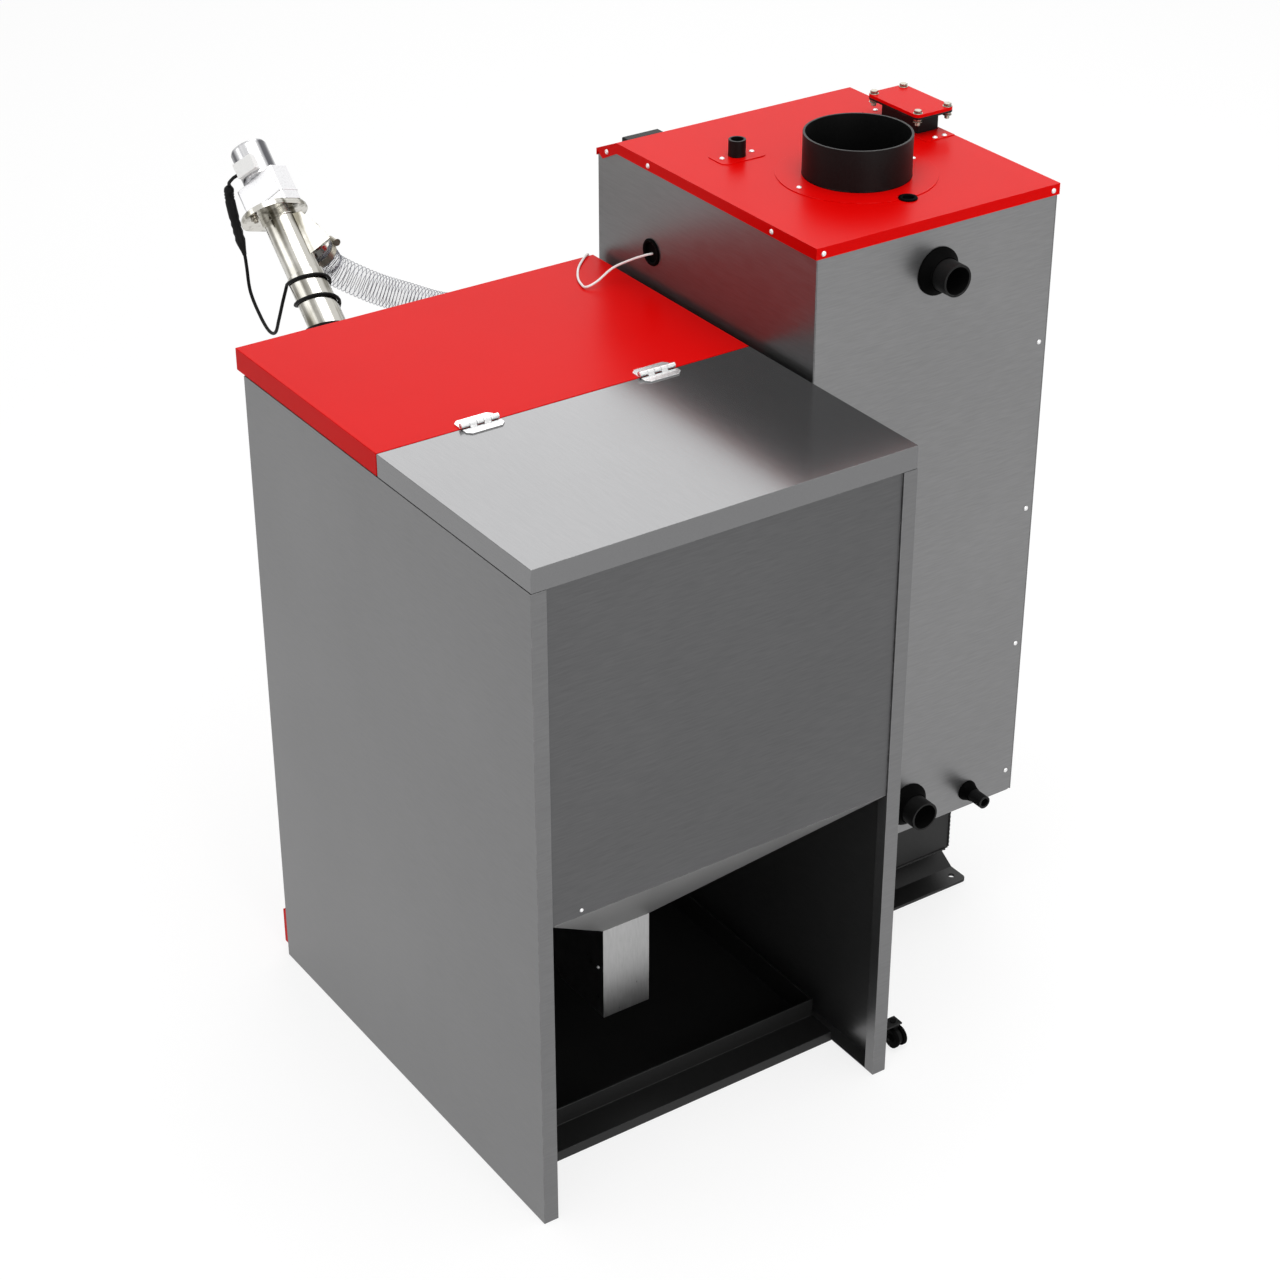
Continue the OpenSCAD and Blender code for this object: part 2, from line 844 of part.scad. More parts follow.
// Thin red plates that close the gaps round the flue, the nipple and the duct
module cover_rosettes() {
  flue_over = 38;
  nipple_over = 22;
  duct_edge = 33;
  color("#dd3b3b")
    translate([0, 0, boiler_h]) {
      difference() {
        translate([0, flue_y, 0])
          cylinder(d = flue_d + 2 * flue_over, h = rosette_t, $fn = 96);
        translate([0, flue_y, -cut])
          cylinder(d = flue_d + 2 * seat_gap, h = 2 * cut, $fn = 96);
        translate([nipple_x, -nipple_y, -cut])
          cylinder(d = nipple_d + 2 * nipple_over + 2 * play, h = 2 * cut);
        translate([0, sensor_hole_y, -cut])
          cylinder(d = sensor_hole_d + 2 * play, h = 2 * cut);
        bar([-cover_hw - cut, duct_y - duct_l, -cut],
          [duct_x + duct_w / 2 + 3 * play, duct_y + duct_l, cut]);
      }
      difference() {
        translate([nipple_x, -nipple_y, 0])
          round_plate(nipple_d + 2.4 * nipple_over, nipple_d + nipple_over, nipple_over / 2, rosette_t);
        translate([nipple_x, -nipple_y, -cut])
          cylinder(d = nipple_d + 2 * seat_gap, h = 2 * cut);
      }
      difference() {
        bar([-cover_hw + sheet_t / 2, duct_y - duct_l / 2 - duct_edge, 0],
          [duct_x + duct_w / 2 + 2 * play, duct_y + duct_l / 2 + duct_edge, rosette_t]);
        translate([duct_x, duct_y, -cut])
          round_plate(duct_w + 2 * seat_gap, duct_l + 2 * seat_gap, neck_t, 2 * cut);
      }
    }
}

// A stub on the shell, slimmer up to where it stands free
module stub(d, wall, low, free_low, high) {
  tube_z(d - 6 * seat_gap, d - 2 * wall, low, free_low);
  tube_z(d, d - 2 * wall, free_low, high);
}

module flue_collar() {
  color("#1c1c1c")
    translate([0, flue_y, 0])
      stub(flue_d, flue_t, body_top, boiler_h + 2 * rosette_t, boiler_h + flue_h);
}

module water_pipe(d, x, z) {
  color("#1c1c1c")
    translate([x, 0, z])
      rotate([-90, 0, 0])
        stub(d, pipe_t, body_rear, casing_rear + sleeve_l + rosette_t, casing_rear + pipe_out);
}

module flow_pipe() {
  water_pipe(pipe_d, 0, flow_z);
}

module return_pipe() {
  water_pipe(pipe_d, 0, return_z);
}

module drain_pipe() {
  water_pipe(drain_d, -drain_x, drain_z);
}

module safety_nipple() {
  color("#1c1c1c")
    translate([nipple_x, -nipple_y, 0])
      stub(nipple_d, pipe_t, body_top, boiler_h + 2 * rosette_t, boiler_h + nipple_h);
}

// Rubber sleeves of the rear pipes, cable grommets and the seal round the auger tube
module rubber_grommets() {
  color("#151515") {
    for (z = [flow_z, return_z])
      translate([0, 0, z])
        sleeve(pipe_d, sleeve_wall);
    translate([-drain_x, 0, drain_z])
      sleeve(drain_d, drain_sleeve_wall);
    translate([0, sensor_hole_y, cover_low])
      grommet(sensor_hole_d);
    translate([inner_hw, cable_hole_y, cable_hole_z])
      rotate([0, 90, 0])
        grommet(cable_hole_d);
    on_auger(front_s - collar_l / 2)
      tube_z(auger_d + 2 * collar_wall, auger_d + 2 * seat_gap, 0, collar_l + 3 * play);
  }
}

// A cable grommet in a sheet whose inner face lies at Z 0
module grommet(hole) {
  tube_z(hole - 2 * seat_gap, hole - 2 * grommet_wall, -grommet_lip, sheet_t);
  tube_z(hole + grommet_wall, hole - 2 * grommet_wall, sheet_t, sheet_t + grommet_lip);
}

module sleeve(pipe, wall) {
  difference() {
    rod_y(pipe + 2 * wall - 2 * seat_gap, casing_rear - sheet_t, casing_rear + sleeve_l);
    rod_y(pipe + 2 * seat_gap, casing_rear - sheet_t - cut, casing_rear + sleeve_l + cut);
  }
}

// Steel neck of the closed duct port, with a flange for its cover
module duct_neck() {
  neck_top = boiler_h + duct_h - duct_t;
  color("#1c1c1c")
    translate([duct_x, duct_y, 0])
      difference() {
        union() {
          translate([0, 0, body_top])
            round_plate(duct_w, duct_l, neck_t, neck_top - body_top);
          translate([0, 0, neck_top - neck_t])
            round_plate(duct_w + 2 * duct_over, duct_l + 2 * duct_over, 3 * neck_t, neck_t);
        }
        translate([0, 0, body_top + neck_t])
          round_plate(duct_w - 2 * neck_t, duct_l - 2 * neck_t, neck_t, neck_top);
        translate([0, 0, neck_top])
          duct_bolt_places()
            cylinder(d = bolt_d + 2 * seat_gap, h = 4 * neck_t, center = true);
      }
}

module duct_bolt_places() {
  for (x = [-1, 1], y = [-1, 1])
    translate([x * (duct_w + duct_over) / 2, y * (duct_l + duct_over) / 2, 0])
      children();
}

module duct_cover() {
  color("#dd3b3b")
    translate([duct_x, duct_y, boiler_h + duct_h - duct_t])
      difference() {
        round_plate(duct_w + 2 * duct_over, duct_l + 2 * duct_over, 3 * neck_t, duct_t);
        duct_bolt_places()
          cylinder(d = bolt_d + 2 * seat_gap, h = 4 * duct_t, center = true);
      }
}

// Hex bolts of the duct cover, the burner plate and the auger's flange
module bolts() {
  stud_l = 6;
  grip = duct_t + neck_t;
  color("#b9bcc0") {
    translate([duct_x, duct_y, boiler_h + duct_h])
      duct_bolt_places()
        bolt([0, -grip - nut_t], -grip - nut_t - stud_l, nut_t);
    burner_bolt_places()
      bolt([0], -plate_t, nut_t + stud_l);
    on_auger(auger_high)
      flange_bolt_places()
        bolt([-nut_t], -nut_t - stud_l, flange_t);
  }
}

module bolt(hex_places, low, high) {
  for (z = hex_places)
    translate([0, 0, z])
      cylinder(d = 1.7 * bolt_d, h = nut_t, $fn = 6);
  translate([0, 0, low])
    cylinder(d = bolt_d, h = high - low);
}

module burner_bolt_places() {
  bolt_out = plate_side / 2 - 1.5 * bolt_d;
  for (x = [-1, 1], z = [-1, 1])
    translate([x * bolt_out, plate_y, burner_z + z * bolt_out])
      rotate([90, 0, 0])
        children();
}

module flange_bolt_places() {
  rotate([0, 0, head_turn])
    for (x = [-1, 1])
      translate([flange_shift + x * (flange_a - 2.4 * play), 0, 0])
        children();
}

// Screws of the casing, of the cover's edges and of its rosettes
module casing_screws() {
  head_d = 8;
  rear_screw_shares = [0.032, 0.222, 0.413, 0.635];
  cover_screw_shares = [0.17, 0.79];
  lip_z = boiler_h - 0.55 * cover_lip;
  edge = 1.5 * head_d;
  top_z = boiler_h + rosette_t;
  color("#dfe0e2") {
    for (s = rear_screw_shares)
      screw_head([-inner_hw + edge, casing_rear, casing_foot + s * boiler_h], head_d, [-90, 0, 0]);
    for (x = [-1, 1]) {
      screw_head([x * (cover_hw - edge), cover_y1, lip_z], head_d, [-90, 0, 0]);
      for (s = cover_screw_shares)
        screw_head([x * cover_hw, cover_y0 + s * (cover_y1 - cover_y0), lip_z], head_d, [0, x * 90, 0]);
      screw_head([x * cover_hw, hood_y + 0.55 * hood_run, lip_z - 0.5 * hood_drop], head_d, [0, x * 90, 0]);
      screw_head([x * (flue_d / 2 + 3 * head_d), flue_y, top_z], head_d, [0, 0, 0]);
      screw_head([nipple_x + x * (nipple_d / 2 + 1.7 * head_d), -nipple_y, top_z], head_d, [0, 0, 0]);
      for (y = [-1, 1])
        screw_head([duct_x + x * 1.1 * head_d, duct_y + y * (duct_l / 2 + 3.4 * head_d), top_z],
          head_d, [0, 0, 0]);
    }
  }
}

// Strips bent to a zigzag that hang in the smoke tubes
module turbulators() {
  strip_t = 2;
  bends = 12;
  half = 0.3 * tube_d;
  low = fire_top + seat_gap;
  high = smoke_floor + strip_t;
  step = (high - low) / bends;
  color("#7a7d80")
    translate([0, 0, cut - fire_top])
      tube_places() {
        along_x(-half, half)
          polygon([
            for (i = [0:bends]) [(i % 2 == 0 ? -half : half) - strip_t, low + i * step],
            for (i = [bends:-1:0]) [(i % 2 == 0 ? -half : half) + strip_t, low + i * step]
          ]);
        bar([-half / 4, -half - tube_gap, smoke_floor + seat_gap],
          [half / 4, half + tube_gap, smoke_floor + seat_gap + 2 * strip_t]);
      }
}

module burner_plate() {
  color("#2a2a2a")
    difference() {
      bar([-plate_side / 2, plate_y, burner_z - plate_side / 2],
        [plate_side / 2, -body_front, burner_z + plate_side / 2]);
      translate([0, 0, burner_z])
        rod_y(burner_d + 2 * seat_gap, plate_y - cut, -body_front + cut);
      burner_bolt_places()
        cylinder(d = bolt_d + 2 * seat_gap, h = 4 * plate_t, center = true);
    }
}

// Round burner head with its grate and rows of air holes
module burner_tube() {
  hole_d = 8;
  hole_rows = 3;
  holes = 5;
  end_y = plate_y + burner_in + plate_t;
  grate_z = -0.28 * burner_d;
  color("#5c5f63")
    translate([0, 0, burner_z])
      difference() {
        union() {
          difference() {
            rod_y(burner_d, plate_y, end_y);
            rod_y(burner_d - 2 * burner_wall, plate_y + burner_wall, end_y + cut);
          }
          bar([-0.38 * burner_d, plate_y, grate_z], [0.38 * burner_d, end_y - play, grate_z + burner_wall]);
        }
        for (i = [0:hole_rows - 1], k = [0:holes - 1])
          translate([
            (k - (holes - 1) / 2) * 2 * hole_d,
            end_y - (i + 1.2) * 2.4 * hole_d,
            grate_z - cut
          ])
            cylinder(d = hole_d, h = 2 * cut + burner_wall, $fn = 24);
        translate([0, 0, 0.2 * burner_d])
          rod_y(spigot_d, plate_y - cut, plate_y + cut);
      }
}

// Sheet housing of the burner with its upright inlet pipe
module burner_housing() {
  color("#c9302f")
    difference() {
      union() {
        translate([0, 0, (housing_floor + housing_top) / 2])
          rotate([90, 0, 0])
            translate([0, 0, -plate_y])
              difference() {
                round_plate(burner_w, burner_h, housing_r, burner_l);
                translate([0, 0, housing_wall])
                  round_plate(burner_w - 2 * housing_wall, burner_h - 2 * housing_wall,
                    housing_r - housing_wall, burner_l - 2 * housing_wall);
              }
        translate([0, inlet_y, 0]) {
          tube_z(spigot_d, spigot_d - 2 * spigot_wall, housing_top - housing_wall, housing_top + inlet_h);
          tube_z(shoulder_d, spigot_d - 2 * spigot_wall, housing_top, housing_top + inlet_h - spigot_l);
        }
      }
      translate([0, inlet_y, housing_top - cut])
        cylinder(d = spigot_d - 2 * spigot_wall, h = inlet_h);
      translate([0, 0, fan_z])
        rod_y(fan_d, housing_y - cut, housing_y + housing_wall + cut);
      translate([0, 0, burner_z + 0.2 * burner_d])
        rod_y(spigot_d, plate_y - housing_wall - cut, plate_y + cut);
    }
}

// Finger guard of the fan: rings on four spokes, and the bearing of the fan's shaft
module burner_grille() {
  guard_rings = 4;
  ring_w = 4;
  front_y = housing_y - guard_t;
  color("#1a1a1a")
    translate([0, 0, fan_z]) {
      for (i = [1:guard_rings])
        difference() {
          rod_y(fan_hub_d + i * (fan_d + 2 * play - fan_hub_d) / guard_rings, front_y, housing_y);
          rod_y(fan_hub_d + i * (fan_d + 2 * play - fan_hub_d) / guard_rings - 2 * ring_w,
            front_y - cut, housing_y + cut);
        }
      for (a = [45:90:315])
        rotate([0, a, 0])
          bar([fan_hub_d / 2 - ring_w, front_y, -ring_w / 2], [fan_d / 2 + play / 2, housing_y, ring_w / 2]);
      difference() {
        rod_y(fan_hub_d, front_y, housing_y + 2 * guard_t);
        rod_y(fan_shaft_d + 2 * pin_gap, front_y + guard_t, housing_y + 2 * guard_t + cut);
      }
    }
}

module burner_fan() {
  hub_front = housing_y + 2 * guard_t + sheet_t + seat_gap;
  blade_r = fan_d / 2 - fan_gap;
  blade_t = 2;
  color("#303336")
    translate([0, 0, fan_z]) {
      rod_y(fan_hub_d, hub_front, hub_front + fan_l);
      rod_y(fan_shaft_d, housing_y + blade_t, hub_front + cut);
      for (i = [0:fan_blades - 1])
        rotate([0, i * 360 / fan_blades, 0])
          translate([0, hub_front + fan_l / 2, 0])
            rotate([35, 0, 0])
              bar([fan_hub_d / 2 - blade_t, -0.4 * fan_l, -blade_t / 2],
                [blade_r, 0.4 * fan_l, blade_t / 2]);
    }
}

// Controller on the front panel: a flanged box with a sunk screen
module controller() {
  front_y = -casing_front - control_out;
  screen_w = 0.5 * control_w;
  screen_h = 0.62 * control_h;
  color("#17181a")
    difference() {
      union() {
        translate([control_x, -casing_front, control_z])
          rotate([90, 0, 0])
            round_plate(control_w, control_h, 1.4 * play, control_out);
        bar([control_x - control_w / 2 + 2 * play, -casing_front, control_z - control_h / 2 + 2 * play],
          [control_x + control_w / 2 - 2 * play, control_back_y, control_z + control_h / 2 - 2 * play]);
      }
      translate([control_x - 0.17 * control_w, front_y + sheet_t / 2, control_z])
        rotate([90, 0, 0])
          round_plate(screen_w, screen_h, sheet_t, cut);
      translate([knob_x, 0, control_z + 0.16 * control_h])
        rod_y(knob_shaft_d + 2 * pin_gap, front_y - cut, front_y + knob_l);
      translate([knob_x, 0, key_z])
        rod_y(key_d + 2 * seat_gap, front_y - cut, front_y + 2 * key_travel + sheet_t);
    }
}

module controller_knob() {
  front_y = -casing_front - control_out;
  grips = 12;
  color("#c8cacd")
    translate([knob_x, 0, control_z + 0.16 * control_h])
      difference() {
        union() {
          rod_y(knob_d, front_y - seat_gap - knob_l, front_y - seat_gap);
          rod_y(knob_shaft_d, front_y - seat_gap - sheet_t, front_y + knob_l - sheet_t);
        }
        for (i = [0:grips - 1])
          rotate([0, i * 360 / grips, 0])
            translate([knob_d / 2, 0, 0])
              rod_y(knob_d / 12, front_y - knob_l - cut, front_y - 2 * sheet_t);
      }
}

module controller_key() {
  front_y = -casing_front - control_out;
  color("#8e9195")
    translate([knob_x, 0, key_z])
      rod_y(key_d, front_y - key_travel, front_y + key_travel + sheet_t - seat_gap);
}

// Puts its children on the front of the switch module, Z outwards
module on_switch() {
  translate([switch_x, hood_y - switch_t, hood_low - switch_w / 2])
    rotate([90, 0, 0])
      children();
}

module switch_module() {
  color("#141414")
    on_switch()
      difference() {
        translate([0, 0, -switch_t])
          round_plate(switch_w, switch_w, sheet_t, switch_t);
        translate([-switch_w / 5, 0, 0])
          cube([rocker_w + 2 * seat_gap, rocker_l + 4 * seat_gap, 2 * rocker_sink], center = true);
        translate([switch_w / 4, 0, -sheet_t])
          cylinder(d = rocker_w, h = cut);
      }
}

// Rocker of the main switch, which tips about a level line
module rocker_switch() {
  half = rocker_l / 2;
  edge = 3.5;
  color("#a01818")
    on_switch()
      translate([-switch_w / 5, 0, 0])
        along_x(-rocker_w / 2, rocker_w / 2)
          polygon([[-half, edge], [0, edge / 2], [half, edge], [half, -edge / 2], [-half, -edge / 2]]);
}

// Pins of the cleaning door and of the lid's hinges
module hinge_pins() {
  color("#c4c7ca") {
    for (side = [-1, 1])
      translate([pin_x, pin_y, door_z + side * barrel_z]) {
        pin_half = barrel_l / 2 + ear_t + seat_gap;
        translate([0, 0, -pin_half])
          cylinder(d = door_pin_d, h = 2 * pin_half);
        translate([0, 0, pin_half])
          cylinder(d = 1.5 * door_pin_d, h = sheet_t);
      }
    for (side = [-1, 1])
      translate([hopper_x + side * hinge_x, seam_y, hinge_pin_z])
        rod_x(lid_pin_d, -hinge_w / 2, hinge_w / 2);
  }
}

// Insulated cleaning door: cover, neck, plug and its knuckles
module cleaning_door() {
  color("#cf2f2f")
    difference() {
      union() {
        translate([0, door_back_y, door_z])
          rotate([90, 0, 0])
            round_plate(door_w, door_h, 2 * play, door_t);
        bar([-neck_hw, door_back_y, door_z - neck_hh],
          [neck_hw, -body_front - seal_t - seat_gap, door_z + neck_hh]);
        bar([-plug_hw, -body_front - seal_t - seat_gap, door_z - plug_hh],
          [plug_hw, -body_front + plug_t, door_z + plug_hh]);
        for (side = [-1, 1])
          translate([0, 0, door_z + side * barrel_z]) {
            translate([pin_x, pin_y, -barrel_l / 2])
              cylinder(d = barrel_d, h = barrel_l);
            bar([pin_x, pin_y - 0.4 * barrel_d, -barrel_l / 2],
              [-door_hw + play, pin_y + barrel_d / 4, barrel_l / 2]);
          }
      }
      for (side = [-1, 1])
        translate([pin_x, pin_y, door_z + side * barrel_z - barrel_l])
          cylinder(d = door_pin_d + 2 * pin_gap, h = 2 * barrel_l);
    }
}

// Ceramic rope seal between the door and the shell
module cleaning_door_seal() {
  rope_w = 7;
  color("#e8e4da")
    translate([0, -body_front - seat_gap, door_z])
      rotate([90, 0, 0])
        difference() {
          round_plate(2 * neck_hw, 2 * neck_hh, 2 * play, seal_t);
          translate([0, 0, -cut])
            round_plate(2 * neck_hw - 2 * rope_w, 2 * neck_hh - 2 * rope_w, play, seal_t + 2 * cut);
        }
}

// A bow handle on two feet, drawn lying along X in front of a face at Y
module bow_handle(len, out, d, y) {
  for (x = [-1, 1])
    translate([x * (len / 2 - d), 0, 0])
      rod_y(d, y - out, y);
  translate([0, y - out, 0])
    rod_x(d, -len / 2, len / 2);
  for (x = [-1, 1])
    translate([x * len / 2, y - out, 0])
      sphere(d = d, $fn = 32);
}

module cleaning_door_handle() {
  color("#161616")
    translate([0.32 * door_w, 0, door_z])
      rotate([0, 90, 0])
        bow_handle(0.6 * door_h, grip_out, door_grip_d, door_face_y);
}

// Ash drawer with its own front, open at the top
module ash_drawer() {
  floor_z = ash_floor + seat_gap;
  color("#333333")
    difference() {
      union() {
        bar([-drawer_hw, drawer_y, floor_z], [drawer_hw, drawer_y + drawer_d, floor_z + drawer_h]);
        bar([-ash_w / 2 - 3 * play, drawer_y, base_floor + play],
          [ash_w / 2 + 3 * play, drawer_y + drawer_front_t, ash_ceiling + 2 * play]);
      }
      bar([-drawer_hw + drawer_wall, drawer_y + drawer_front_t, floor_z + drawer_wall],
        [drawer_hw - drawer_wall, drawer_y + drawer_d - drawer_wall, floor_z + drawer_h + cut]);
    }
}

module ash_drawer_handle() {
  color("#161616")
    translate([0, 0, (base_floor + base_top) / 2])
      bow_handle(0.4 * ash_w, grip_out, ash_grip_d, drawer_y);
}

// One hopper side, drawn for the -X side: a sheet folded into a channel
module hopper_side() {
  bar([hx0, hopper_y0, 0], [hx0 + sheet_t, hopper_rear, side_top]);
  for (y = [hopper_y0, hopper_rear - sheet_t])
    bar([hx0, y, 0], [hx0 + side_t, y + sheet_t, side_top]);
  bar([hx0 + side_t - sheet_t, hopper_y0, 0], [hx0 + side_t, hopper_y0 + side_lip, side_top]);
  bar([hx0 + side_t - sheet_t, hopper_rear - side_lip, 0], [hx0 + side_t, hopper_rear, side_top]);
  bar([hx0, hopper_y0, 0], [hx0 + side_t, hopper_rear, sheet_t]);
  bar([hx0, hopper_y0, side_top - sheet_t], [hx0 + side_t, hopper_rear, side_top]);
}

module hopper_left_side() {
  color("#85868a")
    hopper_side();
}

module hopper_right_side() {
  color("#85868a")
    translate([2 * hopper_x, 0, 0])
      mirror([1, 0, 0])
        hopper_side();
}

// Inner pellet bin: four walls and a funnel that narrows to the well
module pellet_bin() {
  color("#5c5d60")
    difference() {
      union() {
        bar([hopper_x - bin_hw, bin_y0, bin_floor], [hopper_x + bin_hw, bin_y1, side_top]);
        funnel(0);
      }
      bar([hopper_x - bin_hw + sheet_t, bin_y0 + sheet_t, bin_floor],
        [hopper_x + bin_hw - sheet_t, bin_y1 - sheet_t, side_top + cut]);
      funnel(sheet_t);
      on_auger(auger_low)
        cylinder(d = auger_d + 2 * nipple_gap, h = auger_high - auger_low);
      on_auger(front_s - auger_d)
        cylinder(d = collar_hole_d, h = 2 * auger_d);
    }
}

// The funnel's outline, or its hollow when it is drawn in by the sheet's thickness
module funnel(inset) {
  thin = 0.01;
  hull() {
    bar([hopper_x - bin_hw + inset, bin_y0 + inset, bin_floor + inset - thin],
      [hopper_x + bin_hw - inset, bin_y1 - inset, bin_floor + inset]);
    bar([hopper_x - well_w / 2 + inset, well_y0 + inset, well_top - inset],
      [hopper_x + well_w / 2 - inset, well_y1 - inset, well_top - inset + thin]);
  }
}

// Well below the funnel, where the foot of the auger takes the pellets
module auger_well() {
  color("#77787b")
    difference() {
      along_x(hopper_x - well_w / 2, hopper_x + well_w / 2)
        well_profile(0);
      along_x(hopper_x - well_w / 2 + sheet_t, hopper_x + well_w / 2 - sheet_t)
        well_profile(sheet_t);
    }
}

module well_profile(inset) {
  flat_l = well_flat_share * (well_y1 - well_y0);
  top = inset > 0 ? well_top + cut : well_top - seat_gap;
  polygon([
    [well_y1 - inset, top],
    [well_y1 - inset, well_floor + inset],
    [well_y1 - flat_l, well_floor + inset],
    [well_y0 + inset, well_top - sheet_t],
    [well_y0 + inset, top]
  ]);
}

module hopper_front() {
  color("#85868a")
    difference() {
      bar([hx0 + side_t + seat_gap, hopper_y0, plinth_low],
        [hx1 - side_t - seat_gap, hopper_y0 + sheet_t, side_top]);
      on_auger(auger_low)
        cylinder(d = collar_hole_d, h = auger_high - auger_low);
    }
}

// Red plinth, a folded strip in front of the hopper's lower edge
module hopper_plinth() {
  color("#cf2f2f") {
    front = hopper_y0 - plinth_out;
    bar([hx0 + play, front, plinth_low], [hx1 - play, front + sheet_t, plinth_top]);
    bar([hx0 + play, front, plinth_top - sheet_t], [hx1 - play, hopper_y0, plinth_top]);
    for (x = [hx0 + play, hx1 - play - sheet_t])
      bar([x, front, plinth_low], [x + sheet_t, hopper_y0, plinth_top]);
  }
}

// Floor frame of the hopper with its dust tray
module base_tray() {
  x0 = hx0 + side_t + seat_gap;
  x1 = hx1 - side_t - seat_gap;
  y0 = hopper_y0 + sheet_t + seat_gap;
  color("#161616")
    difference() {
      union() {
        bar([x0, y0, 0], [x1, tray_y1, tray_rail_h]);
        bar([x0, y0 + tray_rail, 0], [x1, tray_y1 - tray_rail, tray_rail_h + tray_h]);
      }
      bar([x0 + tray_wall, y0 + tray_rail + tray_wall, tray_wall],
        [x1 - tray_wall, tray_y1 - tray_rail - tray_wall, tray_rail_h + tray_h + cut]);
    }
}

// A sheet lid with turned-down edges all round
module lid_shell(y0, y1) {
  x0 = hx0 + sheet_t / 2;
  x1 = hx1 - sheet_t / 2;
  bar([x0, y0, hopper_h - sheet_t], [x1, y1, hopper_h]);
  for (x = [x0, x1 - sheet_t])
    bar([x, y0, lid_low], [x + sheet_t, y1, hopper_h]);
  for (y = [y0, y1 - sheet_t])
    bar([x0, y, lid_low], [x1, y + sheet_t, hopper_h]);
}

module front_cover() {
  color("#dd3b3b")
    lid_shell(hopper_y0 - lid_over, seam_y - seam_gap / 2);
}

module rear_lid() {
  color("#b4b5b8")
    lid_shell(seam_y + seam_gap / 2, hopper_rear);
}

// One hinge leaf with bevelled corners, drawn on the -Y side of its pin
module leaf_plate() {
  bevel = 0.3 * leaf_d;
  translate([0, 0, hopper_h - hinge_pin_z])
    linear_extrude(leaf_t)
      polygon([
        [-hinge_w / 2, -knuckle_d / 4],
        [-hinge_w / 2, -leaf_d + bevel],
        [-hinge_w / 2 + bevel, -leaf_d],
        [hinge_w / 2 - bevel, -leaf_d],
        [hinge_w / 2, -leaf_d + bevel],
        [hinge_w / 2, -knuckle_d / 4]
      ]);
}

// Keeps the stretch of a knuckle row from one share of the hinge's width to another
module knuckle_stretch(from_share, to_share) {
  x0 = (from_share - 0.5) * hinge_w + knuckle_gap;
  x1 = (to_share - 0.5) * hinge_w - knuckle_gap;
  difference() {
    union() {
      rod_x(knuckle_d, x0, x1);
      bar([x0, -knuckle_d / 2, hopper_h - hinge_pin_z], [x1, 0, 0]);
    }
    rod_x(lid_pin_d + 2 * pin_gap, x0 - cut, x1 + cut);
  }
}

leaf_shares = [0, 0.22, 0.41, 0.59, 0.78, 1];

module hinge_places() {
  for (side = [-1, 1])
    translate([hopper_x + side * hinge_x, seam_y, hinge_pin_z])
      children();
}

module fixed_hinge_leaves() {
  color("#d5d7da")
    hinge_places()
      hinge_half([0, 2, 4], [1, 3]);
}

module lid_hinge_leaves() {
  color("#d5d7da")
    hinge_places()
      mirror([0, 1, 0])
        hinge_half([1, 3], [0, 2, 4]);
}

// One leaf with its own knuckles, cut away at those of the other leaf
module hinge_half(own, other) {
  difference() {
    leaf_plate();
    for (i = other)
      bar([(leaf_shares[i] - 0.5) * hinge_w - knuckle_gap, -0.8 * knuckle_d, -knuckle_d],
        [(leaf_shares[i + 1] - 0.5) * hinge_w + knuckle_gap, knuckle_d, knuckle_d]);
  }
  for (i = own)
    knuckle_stretch(leaf_shares[i], leaf_shares[i + 1]);
}

// Angle bracket on the hopper's side that carries the caster
module caster_bracket() {
  half = 10;
  color("#161616")
    difference() {
      union() {
        bar([hx0 - caster_arm_t, caster_y - 1.5 * half, caster_arm_z],
          [hx0, caster_y + 1.5 * half, caster_arm_z + 3 * half]);
        bar([caster_x - half, caster_y - half, caster_arm_z],
          [hx0, caster_y + half, caster_arm_z + caster_arm_t]);
      }
      translate([caster_x, caster_y, caster_arm_z - cut])
        cylinder(d = caster_stem_d + 2 * pin_gap, h = 2 * cut);
    }
}

// Swivelling body of the twin-wheel caster, with its stem and axle
module caster_fork() {
  centre_w = 7;
  axle_half = centre_w / 2 + caster_wheel_w + 2 * sheet_t;
  wheel_z = caster_d / 2 + caster_lift;
  top = caster_arm_z - seat_gap;
  color("#101010") {
    translate([caster_x, caster_y, top])
      cylinder(d = caster_stem_d, h = caster_arm_t + sheet_t);
    translate([caster_x, caster_y, caster_d + caster_lift + sheet_t])
      cylinder(d = 2 * caster_stem_d, h = top - caster_d - caster_lift - sheet_t);
    translate([caster_x, caster_y + caster_trail, wheel_z]) {
      rod_x(0.8 * caster_d, -centre_w / 2, centre_w / 2);
      rod_x(caster_axle_d, -axle_half, axle_half);
    }
    bar([caster_x - centre_w / 2, caster_y - caster_d / 4, wheel_z],
      [caster_x + centre_w / 2, caster_y + caster_trail, caster_d + caster_lift + 2 * sheet_t]);
  }
}

module caster_wheels() {
  centre_w = 7;
  color("#1d1d1d")
    translate([caster_x, caster_y + caster_trail, caster_d / 2 + caster_lift])
      for (side = [0, 1])
        mirror([side, 0, 0])
          difference() {
            union() {
              rod_x(caster_d, centre_w / 2 + caster_hub_gap, centre_w / 2 + caster_wheel_w);
              rod_x(0.45 * caster_d, centre_w / 2 + caster_hub_gap, centre_w / 2 + caster_wheel_w + sheet_t);
            }
            rod_x(caster_axle_d + 2 * pin_gap, 0, caster_d);
          }
}

